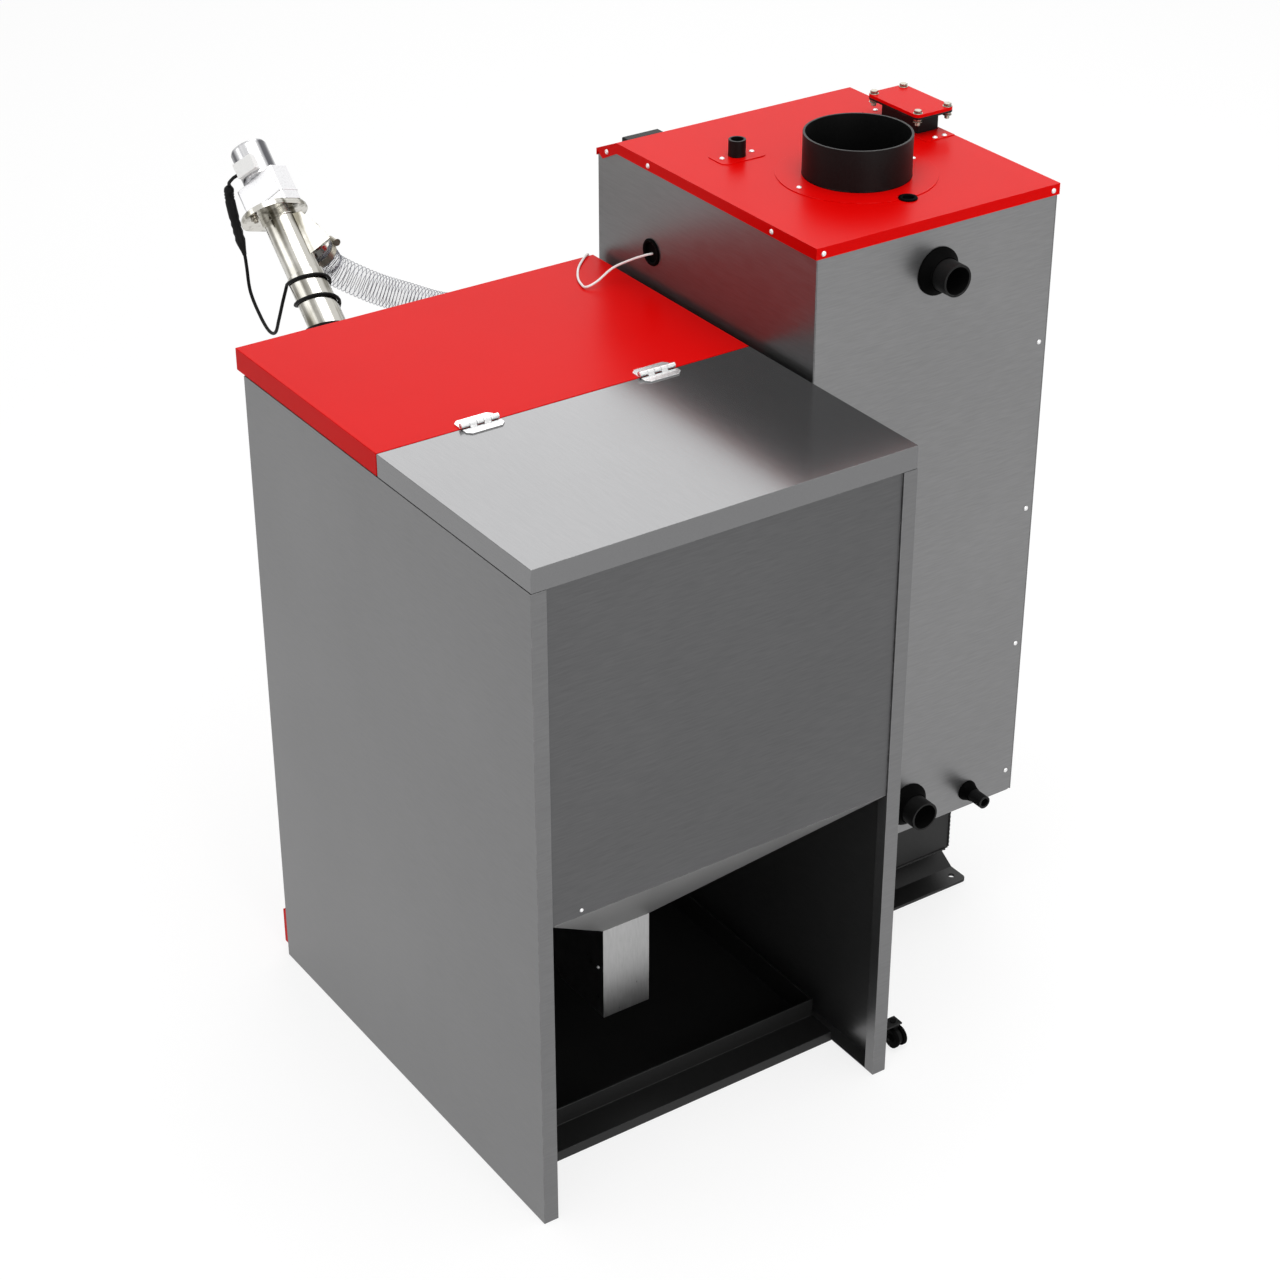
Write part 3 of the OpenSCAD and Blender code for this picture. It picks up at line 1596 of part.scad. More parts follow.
// Auger tube with the inlet cut in its foot and the outlet spout near its top
module auger_tube() {
  cap_t = 4;
  color("#dcd9cf")
    difference() {
      union() {
        on_auger(auger_low)
          cylinder(d = auger_d, h = neck_s - auger_low);
        on_auger(neck_s)
          cylinder(d = auger_neck_d, h = auger_high - neck_s);
        on_auger(auger_high - 2 * cap_t)
          cylinder(d = auger_neck_d + cap_t, h = 2 * cap_t);
        spout_hood();
        along_spout(0) {
          cylinder(d = shoulder_d, h = spout_l);
          cylinder(d = spigot_d, h = spout_l + spigot_l);
          sphere(d = 0.95 * spigot_d);
        }
      }
      on_auger(auger_low + foot_cap_t)
        cylinder(d = auger_neck_d - 2 * auger_wall, h = auger_high - auger_low + cut);
      on_auger(auger_low - cut)
        cylinder(d = shaft_d + 2 * pin_gap, h = 2 * cut);
      along_spout(0) {
        cylinder(d = spigot_d - 2 * spigot_wall, h = spout_l + spigot_l + cut);
        sphere(d = spigot_d - 4 * spigot_wall);
      }
      translate(spout_start)
        rod_x(0.7 * spigot_d, 0, spout_out);
      on_auger(auger_low - cut)
        bar([-0.36 * auger_d, 0, 0], [0.36 * auger_d, auger_d, inlet_l + cut]);
    }
}

// Sloping hood that leads the pellets from the tube into the spout
module spout_hood() {
  hood_hw = 26;
  difference() {
    on_auger(0)
      rotate([90, 0, 0])
        translate([0, 0, -hood_hw])
          linear_extrude(2 * hood_hw)
            polygon([
              [-0.2 * auger_d, auger_high - 2 * play],
              [-0.5 * auger_neck_d, auger_high - 2 * play],
              [-spout_out - 0.35 * auger_d, spout_s - 0.1 * auger_d],
              [-spout_out - 0.45 * auger_d, spout_s - 0.4 * auger_d],
              [-0.2 * auger_d, spout_s - 0.7 * auger_d]
            ]);
    along_spout(spout_l - seat_gap)
      cylinder(d = 3 * shoulder_d, h = shoulder_d);
  }
}

// Auger screw: a helical flight on a round shaft
module auger_screw() {
  turn_rings = 16;
  flight_t = 4;
  root = shaft_d / 2 - flight_t / 4;
  rim = screw_d / 2;
  color("#9aa0a6")
    on_auger(screw_low) {
      translate([0, 0, auger_low - screw_low])
        cylinder(d = shaft_d, h = gear_low + 0.6 * gear_h - auger_low);
      helix([[root, 0, flight_t], [rim, 0, flight_t], [rim, 0, 0], [root, 0, 0]], 360 / turn_rings,
        screw_pitch / turn_rings, round((flight_end - screw_low) / screw_pitch * turn_rings));
    }
}

// Oval plate that joins the tube to the gearbox
module auger_flange() {
  color("#cfccc2")
    on_auger(auger_high)
      difference() {
        rotate([0, 0, head_turn])
          translate([flange_shift, 0, 0]) {
            oval(flange_a, flange_b, 0.6 * flange_t);
            oval(flange_a - sheet_t, flange_b - sheet_t, flange_t);
          }
        cylinder(d = shaft_d + 2 * seat_gap, h = 4 * flange_t, center = true);
        flange_bolt_places()
          cylinder(d = bolt_d + 2 * seat_gap, h = 4 * flange_t, center = true);
      }
}

// An oval plate of two arcs with straight sides
module oval(a, b, t) {
  for (x = [-1, 1])
    translate([x * (a - b), 0, 0])
      cylinder(r = b, h = t);
  translate([-(a - b), -b, 0])
    cube([2 * (a - b), 2 * b, t]);
}

module auger_gearbox() {
  color("#b9babd")
    on_auger(gear_low)
      rotate([0, 0, head_turn])
        difference() {
          union() {
            round_plate(gear_w, gear_l, play, gear_h);
            translate([0, 0, gear_h / 4])
              round_plate(gear_w + sheet_t, gear_l + sheet_t, play, sheet_t);
          }
          translate([0, 0, -cut])
            cylinder(d = shaft_d + 2 * pin_gap, h = cut + 0.75 * gear_h);
        }
}

module auger_motor() {
  cap_t = 5;
  color("#9c9ea1")
    on_auger(motor_low) {
      cylinder(d = motor_d, h = motor_l - cap_t);
      translate([0, 0, motor_l - cap_t])
        cylinder(d1 = motor_d, d2 = motor_d - cap_t, h = cap_t);
      translate([0, 0, motor_l])
        cylinder(d = 0.3 * motor_d, h = sheet_t);
    }
}

// Terminal box on the side of the motor, with the cable's gland below it
module terminal_box() {
  color("#e6e6e6")
    on_auger(motor_low + play)
      rotate([0, 0, box_turn])
        difference() {
          translate([0, -box_w / 2, 0])
            cube([motor_d / 2 + box_t, box_w, box_h]);
          translate([0, 0, -cut])
            cylinder(d = motor_d + 2 * pin_gap, h = box_h + 2 * cut);
        }
}

// Worm-drive clamps at the two ends of the hose
module hose_clamps() {
  band_w = 11;
  band_t = 1.2;
  color("#c9ccd0") {
    along_spout(spout_l + 2 * play)
      hose_clamp(band_w, band_t);
    translate([0, inlet_y, housing_top + inlet_h - 2 * play - band_w])
      hose_clamp(band_w, band_t);
  }
}

module hose_clamp(band_w, band_t) {
  inner = hose_d + 2 * seat_gap;
  screw_x = inner / 2 + 0.5 * band_t + 0.35 * band_w;
  tube_z(inner + 2 * band_t, inner, 0, band_w);
  translate([screw_x, 0, band_w / 2])
    rotate([90, 0, 0])
      cylinder(d = 0.7 * band_w, h = 2 * band_w, center = true, $fn = 24);
  translate([screw_x, band_w, band_w / 2])
    rotate([-90, 0, 0])
      cylinder(d = 1.1 * band_w, h = band_t, $fn = 24);
}

// Clear pellet hose with its wire turns and its bore
hose_end = [0, inlet_y, housing_top + inlet_h - spigot_l];
hose_points = concat(hose_route, [
  hose_end + [0, 0, 1.08 * hose_d + spigot_l],
  hose_end + [0, 0, 1.08 * hose_d],
  hose_end
]);
hose_steps = round(2 * hose_ribs / (len(hose_points) - 1));

module pellet_hose() {
  wire = 1.1;
  sides = 8;
  path = smooth(hose_points, hose_steps);
  n = len(path);
  core = smooth(hose_points, 4);
  m = len(core);
  outer = [for (i = [0:n - 1]) hose_d / 2 - (i % 2 == 0 ? wire : 0)];
  inner = [for (i = [0:m - 1]) hose_inner_d / 2];
  points = concat(rings(path, outer, sides, [0, 1, 0]), rings(core, inner, sides, [0, 1, 0]));
  last = (n - 1) * sides;
  far = n * sides + (m - 1) * sides;
  ends = [
    for (k = [0:sides - 1])
      let (j = (k + 1) % sides)
      each [
        [k, j, n * sides + j],
        [k, n * sides + j, n * sides + k],
        [last + k, far + j, last + j],
        [last + k, far + k, far + j]
      ]
  ];
  color([0.85, 0.87, 0.9, 0.6])
    polyhedron(points, concat(wall_faces(n, sides, 0, true), wall_faces(m, sides, n * sides, false), ends),
      convexity = 10);
}

function auger_point(s, a, r) =
  auger_mark + s * auger_dir + r * cos(a) * [1, 0, 0] + r * sin(a) * auger_up;

wrap_rings = 24;
wraps = [
  for (i = [0:wrap_turns * wrap_rings])
    auger_point(
      wrap_start_s - wrap_pitch * i / wrap_rings,
      wrap_start_turn + 360 * i / wrap_rings,
      wrap_r
    )
];
box_side = box_turn - 90;
gland_s = motor_low + play + 0.2 * box_h;
gland_out = cos(box_side) * [1, 0, 0] + sin(box_side) * auger_up;
gland_foot = auger_point(gland_s, box_turn, motor_d / 2 + box_t / 2) + box_w / 2 * gland_out;
cable_lead = [
  [0, 0, 0, 1], [each gland_out * 5, 1], [each gland_out * 10, 1], [9, -15, -16, 1],
  [6, -22, -24, 1.2], [5, -27, -38, 2.4], [5, -24, -54, 3.1],
  [5, -13, -80, 3.1], [5, 3, -112, 2.6], [5, 13, -130, 1.3], [5, 17, -150, 1], [5, 24, -190, 1],
  [5, 54, -222, 1], [6, 84, -236, 1], [6, 106, -230, 1], [7, 123, -202, 1], [4, 134, -170, 1]
];
cable_tail = [
  [567, -502, 842, 1], [546, -506, 806, 1], [498, -524, 770, 1], [440, -546, 730, 1], [370, -560, 700, 1],
  [290, -558, 680, 1], [220, -544, 660, 1], [165, -520, 634, 1], [132, -492, 600, 1], [128, -472, 566, 1.2]
];
burner_socket = [burner_w / 2, housing_y + 0.145 * burner_l, burner_z + 0.417 * burner_h];
burner_plug = [[26, 0, 14, 2.6], [18, 0, 4, 3], [12, 0, 0, 3], [6, 0, 0, 3], [0, 0, 0, 3]];

function thick(rows, d, from) = [for (r = rows) [each from + [r[0], r[1], r[2]], r[3] * d]];

// Black motor cable: gland, in-line connector, wraps round the auger tube, run to the burner
module motor_cable() {
  d = motor_cable_d;
  rows = concat(
    smooth(thick(cable_lead, d, gland_foot), 2),
    [for (p = wraps) [p[0], p[1], p[2], d]],
    smooth(concat(thick(cable_tail, d, [0, 0, 0]), thick(burner_plug, d, burner_socket)), 2)
  );
  echo("motor cable wraps, least gap to itself", least_gap(wraps, wrap_rings / 2, d));
  color("#111111")
    cord(rows, cable_ring_sides, [1, 0, 0]);
}

// Thin white cable of the fuel level sensor: over the hopper's cover to the hopper's front
sensor_route = [
  [0, 0, 0, 1], [18, 0, 0, 1], [36, -3, 0, 1], [54, -18, -9, 1], [76, -33, -22, 1], [104, -32, -36, 1],
  [122, -35, -42, 1], [120, -52, -43, 1], [112, -72, -43, 1], [98, -94, -43, 1], [84, -111, -43, 1],
  [64, -130, -43, 1], [50, -141, -43, 1], [45, -147, -51, 1], [43, -148, -66, 1], [45, -148, -90, 1],
  [52, -152, -115, 1], [68, -162, -133, 1], [88, -171, -143, 1], [104, -173, -147, 1], [112, -164, -147, 1]
];
sensor_tip = [hx0 + 0.12 * hopper_w, hopper_y0, 0.903 * hopper_h];
sensor_body = [[0, -28, 0, 2.4], [0, -24, 0, 5], [0, -12, 0, 5], [0, 0, 0, 5]];

module sensor_cable() {
  start = [body_hw, cable_hole_y, cable_hole_z - sensor_cable_d];
  run = thick(sensor_route, sensor_cable_d, start);
  color("#e9e6e4")
    cord(smooth(concat(run, thick(sensor_body, sensor_cable_d, sensor_tip)), 3), 8, [0, 0, 1]);
}

boiler_body();
boiler_feet();
insulation();
casing_left_side();
casing_right_side();
casing_rear();
casing_front();
top_cover();
cover_rosettes();
flue_collar();
flow_pipe();
return_pipe();
drain_pipe();
safety_nipple();
rubber_grommets();
duct_neck();
duct_cover();
bolts();
casing_screws();
turbulators();
burner_plate();
burner_tube();
burner_housing();
burner_grille();
controller();
switch_module();
hinge_pins();
cleaning_door();
cleaning_door_seal();
cleaning_door_handle();
ash_drawer();
ash_drawer_handle();
controller_knob();
controller_key();
rocker_switch();
burner_fan();
hopper_left_side();
hopper_right_side();
pellet_bin();
auger_well();
hopper_front();
hopper_plinth();
base_tray();
front_cover();
rear_lid();
fixed_hinge_leaves();
lid_hinge_leaves();
caster_bracket();
caster_fork();
caster_wheels();
auger_tube();
auger_screw();
auger_flange();
auger_gearbox();
auger_motor();
terminal_box();
hose_clamps();
pellet_hose();
motor_cable();
sensor_cable();
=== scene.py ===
import json
import math

import bmesh
import bpy
from mathutils import Matrix, Vector

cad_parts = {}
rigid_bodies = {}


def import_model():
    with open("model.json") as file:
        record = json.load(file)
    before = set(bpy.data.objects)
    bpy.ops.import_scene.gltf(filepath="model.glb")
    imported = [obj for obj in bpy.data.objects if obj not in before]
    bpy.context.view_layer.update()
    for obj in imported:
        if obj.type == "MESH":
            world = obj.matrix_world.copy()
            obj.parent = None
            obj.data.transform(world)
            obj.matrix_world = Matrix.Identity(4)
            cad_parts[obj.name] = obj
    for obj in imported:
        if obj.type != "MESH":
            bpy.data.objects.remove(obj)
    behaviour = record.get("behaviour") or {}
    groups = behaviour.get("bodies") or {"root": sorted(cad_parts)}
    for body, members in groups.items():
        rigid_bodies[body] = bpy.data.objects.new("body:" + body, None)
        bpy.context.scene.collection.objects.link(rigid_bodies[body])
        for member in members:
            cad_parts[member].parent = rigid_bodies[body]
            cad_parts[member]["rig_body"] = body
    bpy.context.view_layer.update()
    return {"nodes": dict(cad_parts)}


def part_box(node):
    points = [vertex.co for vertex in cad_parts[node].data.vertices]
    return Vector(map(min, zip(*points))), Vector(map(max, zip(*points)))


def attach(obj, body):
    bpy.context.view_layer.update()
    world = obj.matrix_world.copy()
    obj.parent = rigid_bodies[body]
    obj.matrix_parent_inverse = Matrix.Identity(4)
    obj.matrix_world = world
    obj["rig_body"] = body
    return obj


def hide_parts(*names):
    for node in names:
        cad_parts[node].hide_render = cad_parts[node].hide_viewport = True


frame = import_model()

# -------------------------------------------------------------------------
# Camera, floor and light
# The boiler is seen from behind and above, across the hopper. A white floor, a white sky and
# large soft lamps, as in a product photograph.

camera = bpy.data.objects.new("camera", bpy.data.cameras.new("camera"))
bpy.context.scene.collection.objects.link(camera)
bpy.context.scene.camera = camera
camera.location = (2.40794, 3.10256, 2.71652)
camera.rotation_mode = "QUATERNION"
camera.rotation_quaternion = Vector((-0.48366, -0.71371, -0.50664)).to_track_quat("-Z", "Y")
camera.data.sensor_width = 36
camera.data.lens = 79.38
bpy.context.scene.view_settings.view_transform = "Standard"


def combined(nodes, links, operation, *sources):
    """The result of a math node on sockets and numbers."""
    node = nodes.new("ShaderNodeMath")
    node.operation = operation
    for socket, source in zip(node.inputs, sources):
        if isinstance(source, float):
            socket.default_value = source
        else:
            links.new(source, socket)
    return node.outputs[0]


def ranged(nodes, links, source, **ends):
    """A value moved to another range. The ends are named as in to_min=0.5."""
    node = nodes.new("ShaderNodeMapRange")
    for end, value in ends.items():
        node.inputs[end.replace("_", " ").title()].default_value = value
    links.new(source, node.inputs["Value"])
    return node.outputs["Result"]


def seen_rays(nodes, links):
    """1 for camera, glossy and transmission rays, which show the white background."""
    rays = nodes.new("ShaderNodeLightPath").outputs
    seen = combined(nodes, links, "MAXIMUM", rays["Is Camera Ray"], rays["Is Glossy Ray"])
    return combined(nodes, links, "MAXIMUM", seen, rays["Is Transmission Ray"])


sky = bpy.data.worlds.new("studio_sky")
bpy.context.scene.world = sky
sky.use_nodes = True
sky_nodes, sky_links = sky.node_tree.nodes, sky.node_tree.links
sky_light = sky_nodes["Background"]
sky_light.inputs["Color"].default_value = (1, 1, 1, 1)
sky_strength = ranged(sky_nodes, sky_links, seen_rays(sky_nodes, sky_links), to_min=0.5, to_max=1.0)
sky_links.new(sky_strength, sky_light.inputs["Strength"])

floor_shape = bmesh.new()
bmesh.ops.create_circle(floor_shape, cap_ends=True, segments=64, radius=14)
bmesh.ops.translate(floor_shape, verts=floor_shape.verts, vec=(0, 0, -0.0006))
floor_mesh = bpy.data.meshes.new("studio_floor")
floor_shape.to_mesh(floor_mesh)
studio_floor = bpy.data.objects.new("studio_floor", floor_mesh)
bpy.context.scene.collection.objects.link(studio_floor)
floor_paint = bpy.data.materials.new("floor_paint")
floor_paint.use_nodes = True
floor_nodes, floor_links = floor_paint.node_tree.nodes, floor_paint.node_tree.links
floor_nodes.remove(floor_nodes["Principled BSDF"])
lit_floor = floor_nodes.new("ShaderNodeBsdfDiffuse")
lit_floor.inputs["Color"].default_value = (0.8, 0.8, 0.8, 1)
shadow_floor = floor_nodes.new("ShaderNodeBsdfDiffuse")
shadow_floor.inputs["Color"].default_value = (0.24, 0.24, 0.24, 1)
glow = floor_nodes.new("ShaderNodeEmission")
glow.inputs["Strength"].default_value = 0.78
seen_floor = floor_nodes.new("ShaderNodeAddShader")
floor_links.new(shadow_floor.outputs[0], seen_floor.inputs[0])
floor_links.new(glow.outputs[0], seen_floor.inputs[1])
floor_mix = floor_nodes.new("ShaderNodeMixShader")
floor_links.new(seen_rays(floor_nodes, floor_links), floor_mix.inputs[0])
floor_links.new(lit_floor.outputs[0], floor_mix.inputs[1])
floor_links.new(seen_floor.outputs[0], floor_mix.inputs[2])
floor_links.new(floor_mix.outputs[0], floor_nodes["Material Output"].inputs["Surface"])
floor_mesh.materials.append(floor_paint)


def soft_lamp(name, place, aim, size, power):
    """A square area lamp of that size in metres, turned towards a point."""
    lamp = bpy.data.lights.new(name, "AREA")
    lamp.size, lamp.energy = size, power
    stand = bpy.data.objects.new(name, lamp)
    stand.location = place
    stand.rotation_mode = "QUATERNION"
    stand.rotation_quaternion = (Vector(aim) - Vector(place)).to_track_quat("-Z", "Y")
    bpy.context.scene.collection.objects.link(stand)


soft_lamp("top_lamp", (0.4, 0.4, 4.6), (0.3, 0, 0.6), 3.4, 95)
soft_lamp("rear_lamp", (0.6, 5.4, 2.2), (0.3, 0, 0.6), 2.8, 110)
soft_lamp("side_lamp", (5.2, -1.6, 2.0), (0.3, 0, 0.6), 2.6, 24)
soft_lamp("front_lamp", (-2.66, -4.36, 4.40), (0.5, 0.3, 1.0), 4.0, 75)
soft_lamp("left_lamp", (-5.2, 0.6, 2.0), (0.3, 0, 0.6), 2.6, 24)

# -------------------------------------------------------------------------
# Pellet hose
# A clear flexible hose with a steel wire wound into its wall, pushed over the auger's spout and
# over the burner's inlet pipe. It hangs in an arc between the two.


def node_group(name, inputs, outputs):
    """An empty shader node group with number or colour sockets, and its two end nodes."""
    group = bpy.data.node_groups.new(name, "ShaderNodeTree")
    for socket, kind, value in inputs:
        made = group.interface.new_socket(name=socket, in_out="INPUT", socket_type=kind)
        made.default_value = value
    for socket in outputs:
        group.interface.new_socket(name=socket, in_out="OUTPUT", socket_type="NodeSocketFloat")
    return group, group.nodes.new("NodeGroupInput"), group.nodes.new("NodeGroupOutput")


# Grain: fine noise, turned about X and drawn out for rolled or brushed metal and for the painted
# reflections along the auger tube and the motor, and soft clouds
sheet_grain, grain_in, grain_out = node_group(
    "sheet_grain",
    [
        ("Fineness", "NodeSocketFloat", 300),
        ("Stretch", "NodeSocketVector", (1, 1, 1)),
        ("Turn", "NodeSocketFloat", 0),
        ("Cloud size", "NodeSocketFloat", 4),
    ],
    ["Grain", "Clouds"],
)
grain_place = sheet_grain.nodes.new("ShaderNodeTexCoord")
grain_turn = sheet_grain.nodes.new("ShaderNodeVectorRotate")
grain_turn.rotation_type = "X_AXIS"
sheet_grain.links.new(grain_place.outputs["Object"], grain_turn.inputs["Vector"])
sheet_grain.links.new(grain_in.outputs["Turn"], grain_turn.inputs["Angle"])
grain_stretch = sheet_grain.nodes.new("ShaderNodeVectorMath")
grain_stretch.operation = "MULTIPLY"
sheet_grain.links.new(grain_turn.outputs["Vector"], grain_stretch.inputs[0])
sheet_grain.links.new(grain_in.outputs["Stretch"], grain_stretch.inputs[1])
fine_noise = sheet_grain.nodes.new("ShaderNodeTexNoise")
fine_noise.inputs["Detail"].default_value = 3
sheet_grain.links.new(grain_stretch.outputs["Vector"], fine_noise.inputs["Vector"])
sheet_grain.links.new(grain_in.outputs["Fineness"], fine_noise.inputs["Scale"])
sheet_grain.links.new(fine_noise.outputs["Fac"], grain_out.inputs["Grain"])
cloud_noise = sheet_grain.nodes.new("ShaderNodeTexNoise")
cloud_noise.inputs["Detail"].default_value = 4
sheet_grain.links.new(grain_place.outputs["Object"], cloud_noise.inputs["Vector"])
sheet_grain.links.new(grain_in.outputs["Cloud size"], cloud_noise.inputs["Scale"])
sheet_grain.links.new(cloud_noise.outputs["Fac"], grain_out.inputs["Clouds"])

# Edge wear and painted edge highlight: a mask where the surface turns within a small width, broken
# up by noise
edge_wear_and_highlight, edge_group_in, edge_group_out = node_group(
    "edge_wear_and_highlight",
    [("Width", "NodeSocketFloat", 0.001), ("Amount", "NodeSocketFloat", 0.5)],
    ["Wear"],
)
rounded = edge_wear_and_highlight.nodes.new("ShaderNodeBevel")
rounded.samples = 4
edge_wear_and_highlight.links.new(edge_group_in.outputs["Width"], rounded.inputs["Radius"])
true_normal = edge_wear_and_highlight.nodes.new("ShaderNodeNewGeometry")
turned_by = edge_wear_and_highlight.nodes.new("ShaderNodeVectorMath")
turned_by.operation = "DOT_PRODUCT"
edge_wear_and_highlight.links.new(rounded.outputs["Normal"], turned_by.inputs[0])
edge_wear_and_highlight.links.new(true_normal.outputs["Normal"], turned_by.inputs[1])
edge_group_parts = (edge_wear_and_highlight.nodes, edge_wear_and_highlight.links)
edge_mask = ranged(*edge_group_parts, turned_by.outputs["Value"], from_min=0.995, from_max=0.9)
edge_spot_place = edge_wear_and_highlight.nodes.new("ShaderNodeTexCoord")
edge_spot_noise = edge_wear_and_highlight.nodes.new("ShaderNodeTexNoise")
edge_spot_noise.inputs["Scale"].default_value = 60
edge_spot_noise.inputs["Detail"].default_value = 5
edge_wear_and_highlight.links.new(edge_spot_place.outputs["Object"], edge_spot_noise.inputs["Vector"])
edge_spots = ranged(*edge_group_parts, edge_spot_noise.outputs["Fac"], from_min=0.45, from_max=0.62)
edge_spot_mask = combined(*edge_group_parts, "MULTIPLY", edge_mask, edge_spots)
edge_share = combined(*edge_group_parts, "MULTIPLY", edge_spot_mask, edge_group_in.outputs["Amount"])
edge_wear_and_highlight.links.new(edge_share, edge_group_out.inputs["Wear"])


def finish(name, colour, shade, rough, metal=0.0, fineness=300.0, stretch=(1, 1, 1), clouds=4.0,
           bump=0.1, depth=0.0002, spread=0.06, worn_and_lit=None, wear_and_highlight=0.0, width=0.0012, coat=0.0,
           specular=0.5, turn=0.0, band=(0.3, 0.7)):
    """A material whose colour, roughness and bump follow the grain, with a lighter colour along its
    edges that is partly rubbed finish and partly painted highlight.
    """
    material = bpy.data.materials.new(name)
    material.use_nodes = True
    nodes, links = material.node_tree.nodes, material.node_tree.links
    shader = nodes["Principled BSDF"]
    shader.inputs["Metallic"].default_value = metal
    shader.inputs["Coat Weight"].default_value = coat
    shader.inputs["Specular IOR Level"].default_value = specular
    grain = nodes.new("ShaderNodeGroup")
    grain.node_tree = sheet_grain
    grain.inputs["Fineness"].default_value = fineness
    grain.inputs["Stretch"].default_value = stretch
    grain.inputs["Turn"].default_value = math.radians(turn)
    grain.inputs["Cloud size"].default_value = clouds
    cloudy = combined(nodes, links, "MULTIPLY", grain.outputs["Clouds"], 0.4)
    both = combined(nodes, links, "MULTIPLY_ADD", grain.outputs["Grain"], 0.6, cloudy)
    bands = ranged(nodes, links, both, from_min=band[0], from_max=band[1])
    tone = nodes.new("ShaderNodeMix")
    tone.data_type = "RGBA"
    tone.inputs["A"].default_value = (*colour, 1)
    tone.inputs["B"].default_value = (*shade, 1)
    links.new(bands, tone.inputs["Factor"])
    last = tone.outputs["Result"]
    # The lighter edge colour is rubbed finish in part and painted highlight in part
    if wear_and_highlight:
        edges = nodes.new("ShaderNodeGroup")
        edges.node_tree = edge_wear_and_highlight
        edges.inputs["Width"].default_value = width
        edges.inputs["Amount"].default_value = wear_and_highlight
        over = nodes.new("ShaderNodeMix")
        over.data_type = "RGBA"
        over.inputs["B"].default_value = (*worn_and_lit, 1)
        links.new(edges.outputs["Wear"], over.inputs["Factor"])
        links.new(last, over.inputs["A"])
        last = over.outputs["Result"]
    links.new(last, shader.inputs["Base Color"])
    dull = ranged(nodes, links, grain.outputs["Grain"], to_min=rough - spread,
                  to_max=rough + spread)
    links.new(dull, shader.inputs["Roughness"])
    relief = nodes.new("ShaderNodeBump")
    relief.inputs["Strength"].default_value = bump
    relief.inputs["Distance"].default_value = depth
    links.new(grain.outputs["Grain"], relief.inputs["Height"])
    links.new(relief.outputs["Normal"], shader.inputs["Normal"])
    return material


def smooth_route(route, steps):
    """Points of a smooth curve that passes through every point of a route."""
    route = [Vector(p) for p in route]
    made = []
    for i in range(len(route) - 1):
        a, b = route[max(i - 1, 0)], route[i]
        c, d = route[i + 1], route[min(i + 2, len(route) - 1)]
        for k in range(steps):
            t = k / steps
            made.append(0.5 * (2 * b + (c - a) * t + (2 * a - 5 * b + 4 * c - d) * t * t
                               + (3 * b - a - 3 * c + d) * t * t * t))
    return made + [route[-1]]


def across(path, side):
    """Two vectors square to the path at each point, turning as little as they can."""
    pairs = []
    for i in range(len(path)):
        ahead = (path[min(i + 1, len(path) - 1)] - path[max(i - 1, 0)]).normalized()
        side = (side - side.dot(ahead) * ahead).normalized()
        pairs.append((side, ahead.cross(side)))
    return pairs


def round_cord(name, path, radius, material, swell=None, sides=5):
    """A round cord along a path, as one open curve. swell gives its thickness point by point."""
    data = bpy.data.curves.new(name, "CURVE")
    data.dimensions = "3D"
    line = data.splines.new("POLY")
    line.points.add(len(path) - 1)
    for i, place in enumerate(path):
        line.points[i].co = (*place, 1)
        line.points[i].radius = swell[i] if swell else 1
    line.use_smooth = True
    data.bevel_depth = radius
    data.bevel_resolution = sides
    data.use_fill_caps = True
    data.materials.append(material)
    piece = bpy.data.objects.new(name, data)
    bpy.context.scene.collection.objects.link(piece)
    return piece


spout_end = Vector((0.485866, -0.656821, 0.978563))
spout_way = Vector((-0.573576, 0, -0.819152))
burner_inlet = Vector((0, -0.4395, 0.6128))
hose_d = 0.052
hose_route = [
    spout_end, spout_end + 0.5 * hose_d * spout_way, spout_end + 1.02 * hose_d * spout_way,
    (0.399, -0.635, 0.898), (0.348, -0.615, 0.874), (0.293, -0.596, 0.850), (0.236, -0.576, 0.841),
    (0.180, -0.550, 0.836), (0.128, -0.520, 0.822), (0.082, -0.490, 0.804), (0.040, -0.462, 0.774),
    (0.010, -0.446, 0.735), burner_inlet + Vector((0, 0, 1.58 * hose_d)),
    burner_inlet + Vector((0, 0, 1.08 * hose_d)), burner_inlet,
]
hose_path = smooth_route(hose_route, 24)

hose_plastic = bpy.data.materials.new("clear_hose_plastic")
hose_plastic.use_nodes = True
hose_nodes, hose_links = hose_plastic.node_tree.nodes, hose_plastic.node_tree.links
hose_shader = hose_nodes["Principled BSDF"]
hose_shader.inputs["Roughness"].default_value = 0.16
hose_shader.inputs["IOR"].default_value = 1.45
hose_grain = hose_nodes.new("ShaderNodeGroup")
hose_grain.node_tree = sheet_grain
hose_grain.inputs["Fineness"].default_value = 90
hose_haze = ranged(hose_nodes, hose_links, hose_grain.outputs["Clouds"], to_min=0.04, to_max=0.14)
hose_links.new(hose_haze, hose_shader.inputs["Alpha"])
hose_tint = hose_nodes.new("ShaderNodeMix")
hose_tint.data_type = "RGBA"
hose_tint.inputs["A"].default_value = (0.62, 0.65, 0.68, 1)
hose_tint.inputs["B"].default_value = (0.78, 0.80, 0.82, 1)
hose_links.new(hose_grain.outputs["Grain"], hose_tint.inputs["Factor"])
hose_links.new(hose_tint.outputs["Result"], hose_shader.inputs["Base Color"])

wire_steel = finish("hose_wire_steel", (0.10, 0.10, 0.12), (0.22, 0.22, 0.25), 0.28, metal=1.0,
                    fineness=900)

hose_wall_t = 0.0012
hose_wall = round_cord("pellet_hose_wall", hose_path, hose_d / 2 - hose_wall_t, hose_plastic,
                       sides=12)
hose_wall.data.use_fill_caps = False
wall_thickness = hose_wall.modifiers.new("wall", "SOLIDIFY")
wall_thickness.thickness = hose_wall_t
wall_thickness.offset = 0
